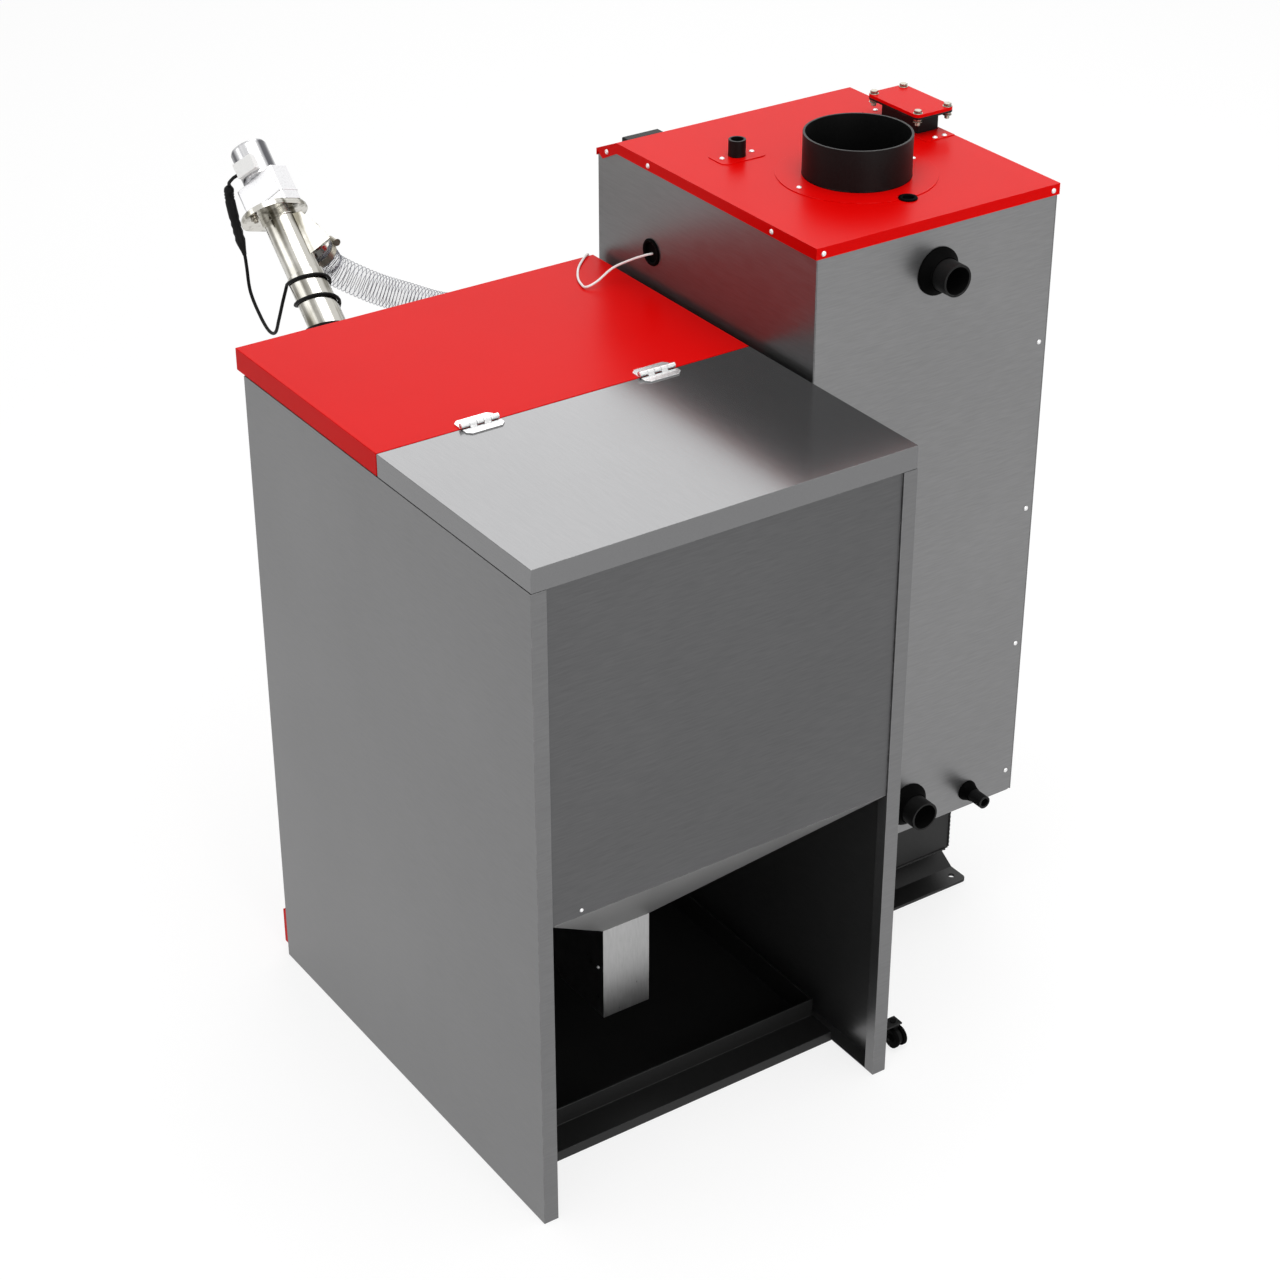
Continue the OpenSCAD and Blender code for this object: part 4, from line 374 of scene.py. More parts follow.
# The wire runs round inside the wall, in even turns from end to end
wire_d, wire_turns, turn_points = 0.0011, 150, 20
coil_r = hose_d / 2 - 0.0008
hose_sides = across(hose_path, Vector((0, 1, 0)))
wire_path = []
for i in range(wire_turns * turn_points + 1):
    share = i / (wire_turns * turn_points) * (len(hose_path) - 1.001)
    k = int(share)
    centre = hose_path[k].lerp(hose_path[k + 1], share - k)
    side = hose_sides[k][0].lerp(hose_sides[k + 1][0], share - k)
    up = hose_sides[k][1].lerp(hose_sides[k + 1][1], share - k)
    turn = 2 * math.pi * i / turn_points
    wire_path.append(centre + coil_r * (math.cos(turn) * side + math.sin(turn) * up))
hose_wire = round_cord("pellet_hose_wire", wire_path, wire_d / 2, wire_steel, sides=0)
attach(hose_wall, "boiler")
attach(hose_wire, "boiler")
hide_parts("pellet_hose")

# -------------------------------------------------------------------------
# Motor cable
# A black rubber cable from the motor's terminal box through an in-line connector, wound three
# times round the auger tube, and then below the hose to a plug on the burner.

cable_rubber = finish("cable_rubber", (0.003, 0.003, 0.003), (0.007, 0.007, 0.007), 0.5,
                      fineness=700, bump=0.15, depth=0.0001, specular=0.12)
gland_foot = Vector((0.568768, -0.743477, 1.09129))
gland_way = Vector((0.615661, -0.532372, -0.580982))
cable_d = 0.0055
lead_steps = [
    (9, -15, -16), (6, -22, -24), (5, -27, -38), (5, -24, -54), (5, -13, -80), (5, 3, -112),
    (5, 13, -130), (5, 17, -150), (5, 24, -190), (5, 54, -222), (6, 84, -236), (6, 106, -230),
    (7, 123, -202), (4, 134, -170),
]
cable_lead = [gland_foot, gland_foot + 0.005 * gland_way, gland_foot + 0.010 * gland_way]
cable_lead += [gland_foot + 0.001 * Vector(step) for step in lead_steps]
auger_mark = Vector((0.5305, -0.603, 0.953))
auger_way = Vector((0, -0.737277, 0.675590))
auger_up = Vector((0, 0.675590, 0.737277))
# Three wraps round the tube, the last ones hanging slack and further apart
wrap_r = 0.03315
wraps = 3
wrap_points = 24
wrap_start = 0.004
wrap_pitch = 0.035
wrap_slack = 0.016
slack_from = 1.3
cable_wraps = []
for i in range(wraps * wrap_points + 1):
    wrap = i / wrap_points
    turn = math.radians(-25 + 360 * wrap)
    along = wrap_start - wrap_pitch * wrap - wrap_slack * max(0, wrap - slack_from)
    cable_wraps.append(auger_mark + along * auger_way
                       + wrap_r * (math.cos(turn) * Vector((1, 0, 0)) + math.sin(turn) * auger_up))
cable_tail = [
    (0.567, -0.502, 0.842), (0.546, -0.506, 0.806), (0.498, -0.524, 0.770), (0.440, -0.546, 0.730),
    (0.370, -0.560, 0.700), (0.290, -0.558, 0.680), (0.220, -0.544, 0.660), (0.165, -0.520, 0.634),
    (0.132, -0.492, 0.600), (0.128, -0.472, 0.566),
]
burner_socket = Vector((0.095, -0.46995, 0.53008))
plug_steps = [(0.026, 0, 0.014), (0.018, 0, 0.004), (0.012, 0, 0), (0.006, 0, 0), (0, 0, 0)]
cable_tail += [burner_socket + Vector(step) for step in plug_steps]
lead_path = smooth_route(cable_lead, 6)
tail_path = smooth_route(cable_tail, 6)
cable_path = lead_path + cable_wraps + tail_path
motor_lead = round_cord("motor_lead", cable_path, cable_d / 2, cable_rubber)

# The connector and the plug are thicker, ridged stretches of the cable
connector_r, plug_r = 0.0083, 0.0082
connector_path = lead_path[24:55]
ridge_swell = [0.45, 0.55, 0.75, 0.95, 1.0, 1.0, 0.86, 1.0, 0.86, 1.0, 0.86, 1.0, 1.0, 1.0, 1.0,
               1.0, 1.0, 1.0, 0.86, 1.0, 0.86, 1.0, 0.86, 1.0, 0.92, 0.8, 0.7, 0.6, 0.52, 0.46, 0.4]
lead_connector = round_cord("motor_lead_connector", connector_path, connector_r, cable_rubber,
                            ridge_swell)
plug_path = tail_path[-27:]
plug_swell = [0.4 + 0.6 * min(1, i / 9) for i in range(len(plug_path))]
burner_plug = round_cord("burner_plug", plug_path, plug_r, cable_rubber, plug_swell)
for cable_piece in (motor_lead, lead_connector, burner_plug):
    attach(cable_piece, "boiler")
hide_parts("motor_cable")

# -------------------------------------------------------------------------
# Sensor cable
# A thin white cable that leaves the boiler's side through a grommet, lies in one loose bow on
# the hopper's red cover, and runs down to the level sensor in the hopper's front panel.

white_cable = finish("white_cable_skin", (0.80, 0.78, 0.77), (0.70, 0.68, 0.67), 0.42,
                     fineness=500, bump=0.08)
sensor_d = 0.0036
sensor_start = Vector((0.187, -0.102, 1.0954))
sensor_steps = [
    (0, 0, 0), (18, 0, 0), (36, -3, 0), (54, -18, -9), (76, -33, -22), (104, -32, -36),
    (122, -35, -42), (120, -52, -43), (112, -72, -43), (98, -94, -43), (84, -111, -43),
    (64, -130, -43), (50, -141, -43), (45, -147, -51), (43, -148, -66), (45, -148, -90),
    (52, -152, -115), (68, -162, -133), (88, -171, -143), (104, -173, -147), (112, -164, -147),
]
sensor_tip = Vector((0.29946, -0.219, 0.94815))
sensor_route = [sensor_start + 0.001 * Vector(step) for step in sensor_steps]
sensor_route += [sensor_tip + Vector((0, -0.001 * out, 0)) for out in (28, 24, 12, 0)]
sensor_path = smooth_route(sensor_route, 6)
sensor_lead = round_cord("sensor_lead", sensor_path, sensor_d / 2, white_cable)
sensor_r = 0.009
sensor_swell = [0.36, 0.6, 0.9] + 10 * [1]
level_sensor = round_cord("fuel_level_sensor", sensor_path[-13:], sensor_r, white_cable,
                          sensor_swell)
for sensor_piece in (sensor_lead, level_sensor):
    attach(sensor_piece, "boiler")
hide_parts("sensor_cable")

# -------------------------------------------------------------------------
# Welded water shell
# Steel plate welded to a box with the firebox, smoke tubes and ash chamber, painted matt black,
# on two bent feet with rounded corners. The weld beads show round the ash base.

black_paint = finish("black_heat_paint", (0.004, 0.004, 0.004), (0.010, 0.010, 0.010), 0.5,
                     fineness=240, bump=0.25, depth=0.0003, worn_and_lit=(0.08, 0.08, 0.08), wear_and_highlight=0.5,
                     specular=0.3)


def add_piece(name, shape, material, body):
    """Makes a piece of a bmesh, in place, and sets it to ride on its body."""
    data = bpy.data.meshes.new(name)
    shape.to_mesh(data)
    shape.free()
    for face in data.polygons:
        face.use_smooth = True
    data.materials.append(material)
    piece = bpy.data.objects.new(name, data)
    bpy.context.scene.collection.objects.link(piece)
    even = piece.modifiers.new("even_shading", "WEIGHTED_NORMAL")
    even.weight = 100
    even.keep_sharp = True
    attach(piece, body)
    return piece


def eased(name, node, edge, material, segments=2, corners=None):
    """A CAD node's shape as one closed mesh, with its sharp edges rounded as the real piece's are.
    corners gives a larger radius for the short edges whose ends lie in a region."""
    sharp_turn = math.radians(30)
    source = frame["nodes"][node]
    shape = bmesh.new()
    shape.from_mesh(source.data)
    bmesh.ops.remove_doubles(shape, verts=shape.verts, dist=2e-6)
    bmesh.ops.dissolve_limit(shape, angle_limit=math.radians(0.6), verts=shape.verts,
                             edges=shape.edges, delimit={"NORMAL"})
    if corners:
        picked = [e for e in shape.edges if len(e.link_faces) == 2 and e.calc_length() < 0.008
                  and e.calc_face_angle(0) > 1.2 and all(corners[1](v.co) for v in e.verts)]
        bmesh.ops.bevel(shape, geom=picked, offset=corners[0], segments=6, profile=0.5,
                        affect="EDGES", material=-1)
    sharp = [e for e in shape.edges
             if len(e.link_faces) == 2 and e.calc_face_angle(0) > sharp_turn]
    if edge:
        bmesh.ops.bevel(shape, geom=sharp, offset=edge, segments=segments, profile=0.5,
                        affect="EDGES", clamp_overlap=True, material=-1)
    piece = add_piece(name, shape, material, source["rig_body"])
    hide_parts(node)
    return piece


eased("water_shell", "boiler_body", 0.0012, black_paint)
eased("bent_feet", "boiler_feet", 0.0008, black_paint,
      corners=(0.009, lambda p: abs(p.y) > 0.225))


def weld_bead(name, start, end, radius):
    """A weld bead along a straight seam: a round strip with the ripples of each pass."""
    start, end = Vector(start), Vector(end)
    count = max(8, int((end - start).length / 0.004))
    route = [start.lerp(end, i / count) for i in range(count + 1)]
    swell = [0.82 + 0.18 * math.cos(math.pi * i) for i in range(count + 1)]
    bead = round_cord(name, route, radius, black_paint, swell, sides=1)
    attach(bead, "boiler")


base_x, base_y = 0.187, 0.185
base_low, base_high = 0.046, 0.198
foot_seam_x, foot_seam_y, foot_seam_z = 0.18, 0.1855, 0.0425
for side, side_name in ((-1, "left"), (1, "right")):
    for end, end_name in ((-1, "front"), (1, "rear")):
        weld_bead(f"corner_weld_{side_name}_{end_name}", (side * base_x, end * base_y, base_low),
                  (side * base_x, end * base_y, base_high), 0.0022)
for end, end_name in ((-1, "front"), (1, "rear")):
    weld_bead(f"foot_weld_{end_name}", (-foot_seam_x, end * foot_seam_y, foot_seam_z),
              (foot_seam_x, end * foot_seam_y, foot_seam_z), 0.0025)

# -------------------------------------------------------------------------
# Mineral wool
# A pressed wool blanket round the sides and the rear of the shell, under the casing. Its faces
# are uneven.

wool = finish("mineral_wool", (0.55, 0.44, 0.16), (0.38, 0.29, 0.10), 0.95, fineness=160,
              stretch=(1, 1, 3), bump=0.8, depth=0.002, clouds=20)
eased("wool_blanket", "insulation", 0.0, wool)

# -------------------------------------------------------------------------
# Grey casing
# Four folded steel sheets with a brushed metallic coat: two side panels, the rear panel, and the
# front panel with its cut-outs. The side panels take a darker copy of the grey as painted shade.

# The lighter grey along the sheets' edges is partly rubbed coat and partly painted highlight
brushed = {"metal": 0.9, "fineness": 260, "stretch": (0.12, 0.12, 1.6), "clouds": 3,
           "worn_and_lit": (0.42, 0.42, 0.43), "wear_and_highlight": 0.4}
grey_sheet = finish("grey_casing_sheet", (0.192, 0.192, 0.194), (0.236, 0.236, 0.238), 0.34,
                    **brushed)
# The side sheet is the casing grey made darker, painted shade for the side panels
shaded_side_sheet = finish("grey_side_sheet_painted_shade", (0.152, 0.152, 0.154), (0.188, 0.188, 0.190), 0.34,
                    **brushed)
eased("left_casing_panel", "casing_left_side", 0.0007, shaded_side_sheet)
eased("right_casing_panel", "casing_right_side", 0.0007, shaded_side_sheet)
eased("rear_casing_panel", "casing_rear", 0.0007, grey_sheet,
      corners=(0.006, lambda p: abs(p.x) > 0.2 and p.z < 0.22 and p.y > 0.29))
eased("front_casing_panel", "casing_front", 0.0007, grey_sheet)

# -------------------------------------------------------------------------
# Red cover
# The cover is one folded sheet with turned-down edges and a sloping hood in front, powder coated
# red. Thin red trim plates close the gaps round the flue, the nipple and the duct.

# The lighter red along its edges is painted highlight
red_paint = finish("red_powder_coat", (0.590, 0.0010, 0.0008), (0.640, 0.0014, 0.0011), 0.32,
                   fineness=700, bump=0.08, depth=0.0001, clouds=5, worn_and_lit=(0.80, 0.05, 0.05),
                   wear_and_highlight=0.4, specular=0.03)
eased("red_cover_sheet", "top_cover", 0.0009, red_paint)
eased("red_trim_plates", "cover_rosettes", 0.0002, red_paint)

# -------------------------------------------------------------------------
# Casing screws
# Self-drilling screws with low domed heads, zinc plated, along the rear panel, the cover's edges
# and the trim plates. Each head has a small round recess.

zinc = finish("zinc_screw", (0.92, 0.92, 0.92), (0.74, 0.74, 0.74), 0.3, metal=0.5, fineness=600)


def turned(profile, steps):
    """A bmesh turned round the Z axis from a profile of radius and height."""
    shape = bmesh.new()
    points = [shape.verts.new((r, 0, z)) for r, z in profile]
    edges = [shape.edges.new(pair) for pair in zip(points, points[1:])]
    bmesh.ops.spin(shape, geom=points + edges, cent=(0, 0, 0), axis=(0, 0, 1),
                   angle=2 * math.pi, steps=steps, use_merge=True)
    bmesh.ops.remove_doubles(shape, verts=shape.verts, dist=1e-6)
    bmesh.ops.holes_fill(shape, edges=shape.edges, sides=steps)
    bmesh.ops.recalc_face_normals(shape, faces=shape.faces)
    return shape


def stand_on(shape, place, way):
    """Turns a bmesh's Z to a direction and moves its origin to a place."""
    turn = Vector((0, 0, 1)).rotation_difference(Vector(way)).to_matrix()
    bmesh.ops.rotate(shape, cent=(0, 0, 0), matrix=turn, verts=shape.verts)
    bmesh.ops.translate(shape, vec=place, verts=shape.verts)
    return shape


def joined(shapes):
    """One bmesh with the faces of several."""
    whole = bmesh.new()
    for shape in shapes:
        part = bpy.data.meshes.new("part")
        shape.to_mesh(part)
        shape.free()
        whole.from_mesh(part)
        bpy.data.meshes.remove(part)
    return whole


def domed_head(d):
    """A low domed screw head with a small round recess."""
    r = d / 2
    return turned([(0, 0.12 * d), (0.26 * r, 0.12 * d), (0.30 * r, 0.25 * d), (0.34 * r, 0.28 * d),
                   (0.62 * r, 0.245 * d), (0.86 * r, 0.16 * d), (0.98 * r, 0.06 * d), (r, 0)], 18)


cover_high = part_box("top_cover")[1]
cover_hw, cover_rear = cover_high.x, cover_high.y
hood_start, casing_front = -0.192, -0.246
casing_side, casing_rear = 0.2135, 0.294
casing_foot, boiler_top = 0.209, 1.241
lip_h = 0.017
screw_d = 0.008
screw_in = 0.012
lip_z = boiler_top - 0.55 * lip_h
trim_z = 1.2422
flue_r, flue_y = 0.0795, 0.104
nipple_r, nipple_x, nipple_y = 0.013, 0.101, -0.05
duct_x, duct_y, duct_hl = -0.1925, -0.015, 0.044
screw_places = [((screw_in - casing_side, casing_rear, casing_foot + share * boiler_top), (0, 1, 0))
                for share in (0.032, 0.222, 0.413, 0.635)]
side_places = [hood_start + share * (cover_rear - hood_start) for share in (0.17, 0.79)]
for side in (-1, 1):
    screw_places += [
        ((side * (cover_hw - screw_in), cover_rear, lip_z), (0, 1, 0)),
        *(((side * cover_hw, place_y, lip_z), (side, 0, 0)) for place_y in side_places),
        ((side * cover_hw, casing_front + 0.0286, lip_z - screw_in), (side, 0, 0)),
        ((side * (flue_r + 0.024), flue_y, trim_z), (0, 0, 1)),
        ((nipple_x + side * (nipple_r + 0.0136), nipple_y, trim_z), (0, 0, 1)),
        *(((duct_x + side * 0.0088, duct_y + end * (duct_hl + 0.0272), trim_z), (0, 0, 1))
          for end in (-1, 1)),
    ]
screw_heads = add_piece("casing_screw_heads", joined(
    [stand_on(domed_head(screw_d), place, way) for place, way in screw_places]), zinc, "boiler")
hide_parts("casing_screws")

# -------------------------------------------------------------------------
# Flue collar and pipes
# Steel pipe stubs welded to the shell and painted black: the flue, flow, return and drain pipes
# and the safety nipple. Rubber boots close the gaps round the pipes, and grommets guard the cables.

# The lighter rims on the pipe ends are painted highlight as well as rubbed paint
pipe_paint = finish("black_pipe_paint", (0.003, 0.003, 0.003), (0.007, 0.007, 0.007), 0.42,
                    fineness=380, bump=0.2, worn_and_lit=(0.07, 0.07, 0.07), wear_and_highlight=0.7, width=0.0016,
                    specular=0.12)
for name, node in (("flue_stub", "flue_collar"), ("flow_stub", "flow_pipe"),
                   ("return_stub", "return_pipe"), ("drain_stub", "drain_pipe"),
                   ("nipple_stub", "safety_nipple")):
    eased(name, node, 0.0006, pipe_paint)

rubber = finish("black_rubber", (0.0007, 0.0007, 0.0007), (0.0022, 0.0022, 0.0022), 0.6,
                fineness=450, bump=0.2, specular=0.02)


def boot(pipe_r, wall, lip):
    """A rubber boot: a soft cone from a lip on the panel down to the pipe."""
    inner = pipe_r + 0.0003
    swept = [(inner + (wall + lip) * (0.12 + 0.88 * (1 - i / 9) ** 1.4), 0.0022 + 0.0148 * i / 9)
             for i in range(10)]
    return turned([
        (inner, -0.002), (inner + wall - 0.0006, -0.002), (inner + wall - 0.0006, 0.0002),
        (inner + wall + lip, 0.0002), *swept, (inner, 0.0172), (inner, -0.002),
    ], 48)


def grommet(hole_r, depth):
    """A grommet in a sheet: a round lip on both faces and a thin skin across its hole."""
    bore = hole_r - 0.003
    return turned([
        (0, -0.0005), (bore - 0.0008, -0.0005), (bore, -0.0012), (bore, -0.0025),
        (hole_r + 0.001, -0.0025), (hole_r + 0.001, -0.0002), (hole_r - 0.0004, -0.0002),
        (hole_r - 0.0004, depth + 0.0002), (hole_r + 0.0026, depth + 0.0002),
        (hole_r + 0.0030, depth + 0.0012), (hole_r + 0.0022, depth + 0.0024),
        (hole_r, depth + 0.0028), (bore + 0.0008, depth + 0.0024), (bore, depth + 0.0014),
        (bore, 0.0006), (bore - 0.001, 0), (0, 0),
    ], 40)


water_r, drain_r = 0.02415, 0.01065
flow_z, return_z = 1.157, 0.259
drain_x, drain_z = -0.122, 0.240
sheet_t = 0.002
tube_foot = 0.520835
collar_start = auger_mark - (tube_foot + 0.013) * auger_way
boots = joined([
    stand_on(boot(water_r, 0.008, 0.0035), (0, casing_rear, flow_z), (0, 1, 0)),
    stand_on(boot(water_r, 0.008, 0.0035), (0, casing_rear, return_z), (0, 1, 0)),
    stand_on(boot(drain_r, 0.003, 0.003), (drain_x, casing_rear, drain_z), (0, 1, 0)),
    stand_on(grommet(0.011, sheet_t), (0, 0.221, boiler_top - sheet_t), (0, 0, 1)),
    stand_on(grommet(0.018, sheet_t), (casing_side, -0.102, 1.099), (1, 0, 0)),
    stand_on(turned([(0.0303, 0), (0.0356, 0), (0.036, 0.001), (0.036, 0.034), (0.0365, 0.036),
                     (0.036, 0.040), (0.034, 0.041), (0.0303, 0.041), (0.0303, 0)], 48),
             collar_start, auger_way),
])
rubber_boots = add_piece("rubber_boots", boots, rubber, "boiler")
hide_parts("rubber_grommets")

# -------------------------------------------------------------------------
# Duct port and bolts
# A black steel neck with a flange, closed by a red cover plate on four bolts. The same hex bolts
# hold the burner plate and the auger's flange.

eased("duct_port", "duct_neck", 0.0006, pipe_paint)
eased("duct_cover_plate", "duct_cover", 0.0008, red_paint)
bolt_zinc = finish("bolt_zinc", (0.40, 0.37, 0.30), (0.22, 0.20, 0.17), 0.3, metal=0.9,
                   fineness=500, worn_and_lit=(0.6, 0.58, 0.5), wear_and_highlight=0.4)


def hexagon(height):
    """A hex head or nut of an M8 bolt, chamfered, standing on its washer."""
    hex_r, washer_t = 0.006, 0.0009
    shape = bmesh.new()
    bmesh.ops.create_cone(shape, cap_ends=True, segments=6, radius1=hex_r, radius2=hex_r,
                          depth=height - washer_t)
    rims = [e for e in shape.edges if e.is_manifold and abs(e.calc_face_angle(0)) > 1.2]
    bmesh.ops.bevel(shape, geom=rims, offset=0.0006, segments=2, profile=0.5, affect="EDGES",
                    material=-1)
    bmesh.ops.translate(shape, vec=(0, 0, (height + washer_t) / 2), verts=shape.verts)
    washer = turned([(0.0044, 0), (0.0071, 0), (0.0072, 0.0003), (0.0070, washer_t),
                     (0.0044, washer_t), (0.0044, 0)], 28)
    return [shape, washer]


def stud(low, high):
    """The bolt's shank with a chamfered end and the rings of its thread."""
    crest, root, tip, pitch = 0.0039, 0.0034, 0.0031, 0.00125
    chamfer = crest - tip
    profile = [(0, low), (tip, low), (crest, low + chamfer)]
    for i in range(int((high - low - 2 * chamfer) / pitch)):
        z = low + chamfer + i * pitch
        profile += [(crest, z + 0.0003), (root, z + 0.0007), (crest, z + 0.0011)]
    profile += [(crest, high - chamfer), (tip, high), (0, high)]
    return turned(profile, 20)


def lifted(shapes, z):
    """The shapes moved up along Z."""
    for shape in shapes:
        bmesh.ops.translate(shape, vec=(0, 0, z), verts=shape.verts)
    return shapes


bolt_shapes = []
head_h = 0.005
duct_plate_z, duct_bolt_x, duct_bolt_y = 1.278, 0.028, 0.052
burner_z, plate_face, plate_bolt = 0.43, -0.222, 0.103
for side in (-1, 1):
    for end in (-1, 1):
        place = (duct_x + side * duct_bolt_x, duct_y + end * duct_bolt_y, duct_plate_z)
        for shape in hexagon(head_h) + lifted(hexagon(head_h), -0.0131) + [stud(-0.019, 0.0045)]:
            bolt_shapes.append(stand_on(shape, place, (0, 0, 1)))
        place = (side * plate_bolt, plate_face, burner_z + end * plate_bolt)
        for shape in hexagon(head_h) + [stud(-0.0098, 0.011)]:
            bolt_shapes.append(stand_on(shape, place, (0, -1, 0)))
head_turn = math.radians(25)
head_x = math.cos(head_turn) * Vector((1, 0, 0)) + math.sin(head_turn) * auger_up
flange_up, flange_mid, flange_bolt_x = 0.114, 0.008, 0.048
for side in (-1, 1):
    place = auger_mark + flange_up * auger_way + (flange_mid + side * flange_bolt_x) * head_x
    for shape in lifted(hexagon(head_h), -head_h) + [stud(-0.0108, 0.0099)]:
        bolt_shapes.append(stand_on(shape, place, auger_way))
bolt_set = add_piece("hex_bolts", joined(bolt_shapes), bolt_zinc, "boiler")
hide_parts("bolts")

# -------------------------------------------------------------------------
# Turbulators
# Strips of heat-resistant steel, bent to a zigzag and hung in the smoke tubes to slow the gas.
# They are sooty from use.

soot_steel = finish("soot_steel", (0.10, 0.10, 0.10), (0.24, 0.23, 0.22), 0.7, metal=0.5,
                    fineness=180, bump=0.3)
eased("smoke_strips", "turbulators", 0.0, soot_steel)

# -------------------------------------------------------------------------
# Burner
# A bolted plate, a round heat-resistant head with its grate, and a sheet housing with the fan
# behind a wire guard. The pellets fall in through the upright inlet pipe.

heat_steel = finish("heat_steel", (0.20, 0.19, 0.185), (0.30, 0.29, 0.28), 0.48, metal=0.9,
                    fineness=220, bump=0.2)
fan_plastic = finish("fan_plastic", (0.03, 0.03, 0.033), (0.045, 0.045, 0.05), 0.4, fineness=500)
guard_wire = finish("guard_wire", (0.012, 0.012, 0.012), (0.02, 0.02, 0.02), 0.38, fineness=300,
                    worn_and_lit=(0.2, 0.2, 0.2), wear_and_highlight=0.3)
eased("burner_mounting_plate", "burner_plate", 0.0012, black_paint)
eased("burner_head", "burner_tube", 0.0006, heat_steel)
eased("burner_case", "burner_housing", 0.0007, red_paint)
eased("fan_guard", "burner_grille", 0.0005, guard_wire)
eased("fan_wheel", "burner_fan", 0.0003, fan_plastic)
case_hw = 0.095
case_screws = []
for side in (-1, 1):
    for y in (-0.498, -0.36, -0.236):
        for z in (0.356, 0.562):
            case_screws.append(stand_on(domed_head(0.007), (side * case_hw, y, z), (side, 0, 0)))
add_piece("burner_case_screws", joined(case_screws), zinc, "boiler")
louvres, louvre_pitch, louvre_tilt = 6, 0.011, 24
slots = []
for side in (-1, 1):
    for k in range(louvres):
        slot_shape = bmesh.new()
        bmesh.ops.create_cube(slot_shape, size=1)
        bmesh.ops.scale(slot_shape, vec=(0.0012, 0.052, 0.004), verts=slot_shape.verts)
        bmesh.ops.bevel(slot_shape, geom=slot_shape.edges[:], offset=0.0005, segments=2,
                        profile=0.5, affect="EDGES", material=-1)
        bmesh.ops.rotate(slot_shape, cent=(0, 0, 0), verts=slot_shape.verts,
                         matrix=Matrix.Rotation(math.radians(side * louvre_tilt), 3, "Y"))
        bmesh.ops.translate(slot_shape, verts=slot_shape.verts,
                            vec=(side * (case_hw + 0.0004), -0.30, 0.40 + k * louvre_pitch))
        slots.append(slot_shape)
add_piece("burner_louvres", joined(slots), red_paint, "boiler")

# -------------------------------------------------------------------------
# Cleaning door
# A red insulated door on two pins, with a pressed border, a rope seal and a black bow handle.
# It closes the smoke box above the firebox.

raw_steel = finish("raw_steel", (0.50, 0.51, 0.52), (0.62, 0.63, 0.64), 0.32, metal=1.0,
                   fineness=400, stretch=(1, 1, 6))
rope = finish("ceramic_rope", (0.72, 0.70, 0.64), (0.50, 0.47, 0.41), 0.9, fineness=420,
              bump=0.9, depth=0.001, clouds=120)
handle_black = finish("handle_black", (0.006, 0.006, 0.006), (0.012, 0.012, 0.012), 0.34,
                      fineness=350, bump=0.15, specular=0.3)
eased("cleaning_door_leaf", "cleaning_door", 0.0018, red_paint, segments=3)
eased("steel_hinge_pins", "hinge_pins", 0.0004, raw_steel)
seal_low, seal_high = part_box("cleaning_door_seal")


def frame_path(low_x, high_x, low_z, high_z, y, corner):
    """A closed rectangular path with round corners in a plane square to Y."""
    steps = 8
    left, right = low_x + corner, high_x - corner
    foot, head = low_z + corner, high_z - corner
    arcs = ((right, head, 0), (left, head, 90), (left, foot, 180), (right, foot, 270))
    path = []
    for cx, cz, start in arcs:
        for k in range(steps + 1):
            a = math.radians(start + 90 * k / steps)
            path.append(Vector((cx + corner * math.cos(a), y, cz + corner * math.sin(a))))
    return path


def closed_bead(name, path, radius, material, body):
    """A round bead along a closed path."""
    bead = round_cord(name, path, radius, material, sides=3)
    bead.data.splines[0].use_cyclic_u = True
    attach(bead, body)
    return bead


rope_in = 0.0034
rope_path = frame_path(seal_low.x + rope_in, seal_high.x - rope_in, seal_low.z + rope_in,
                       seal_high.z - rope_in, (seal_low.y + seal_high.y) / 2, 0.008)
door_rope = closed_bead("door_rope_seal", rope_path, 0.0026, rope,
                        frame["nodes"]["cleaning_door_seal"]["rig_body"])
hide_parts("cleaning_door_seal")
door_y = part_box("cleaning_door")[0].y
door_mid, border_hw, border_hh = 0.936, 0.152, 0.067
border_path = frame_path(-border_hw, border_hw, door_mid - border_hh, door_mid + border_hh,
                         door_y + 0.0006, 0.012)
closed_bead("door_pressed_border", border_path, 0.0022, red_paint, "cleaning_door")
add_piece("door_screws", joined(
    [stand_on(domed_head(screw_d), (x, door_y, door_mid + z), (0, -1, 0))
     for x in (-0.16, 0.16) for z in (-0.075, 0.075)]), zinc, "cleaning_door")
eased("cleaning_door_grip", "cleaning_door_handle", 0.0, handle_black)

# -------------------------------------------------------------------------
# Ash drawer
# A folded sheet drawer below the firebox, with its own flanged front. It is painted black and
# pulled out by a bow handle.

eased("ash_box", "ash_drawer", 0.0007, black_paint)
eased("ash_box_grip", "ash_drawer_handle", 0.0, handle_black)
ash_low, ash_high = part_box("ash_drawer")
ash_path = frame_path(-0.150, 0.150, ash_low.z + 0.030, ash_high.z - 0.045, ash_low.y + 0.0005,
                      0.010)
closed_bead("ash_front_border", ash_path, 0.0018, black_paint, "ash_drawer")

# -------------------------------------------------------------------------
# Controls
# A black plastic controller with a sunk dark screen, a grooved grey knob and a round key, and
# beside it the main switch with its red rocker.

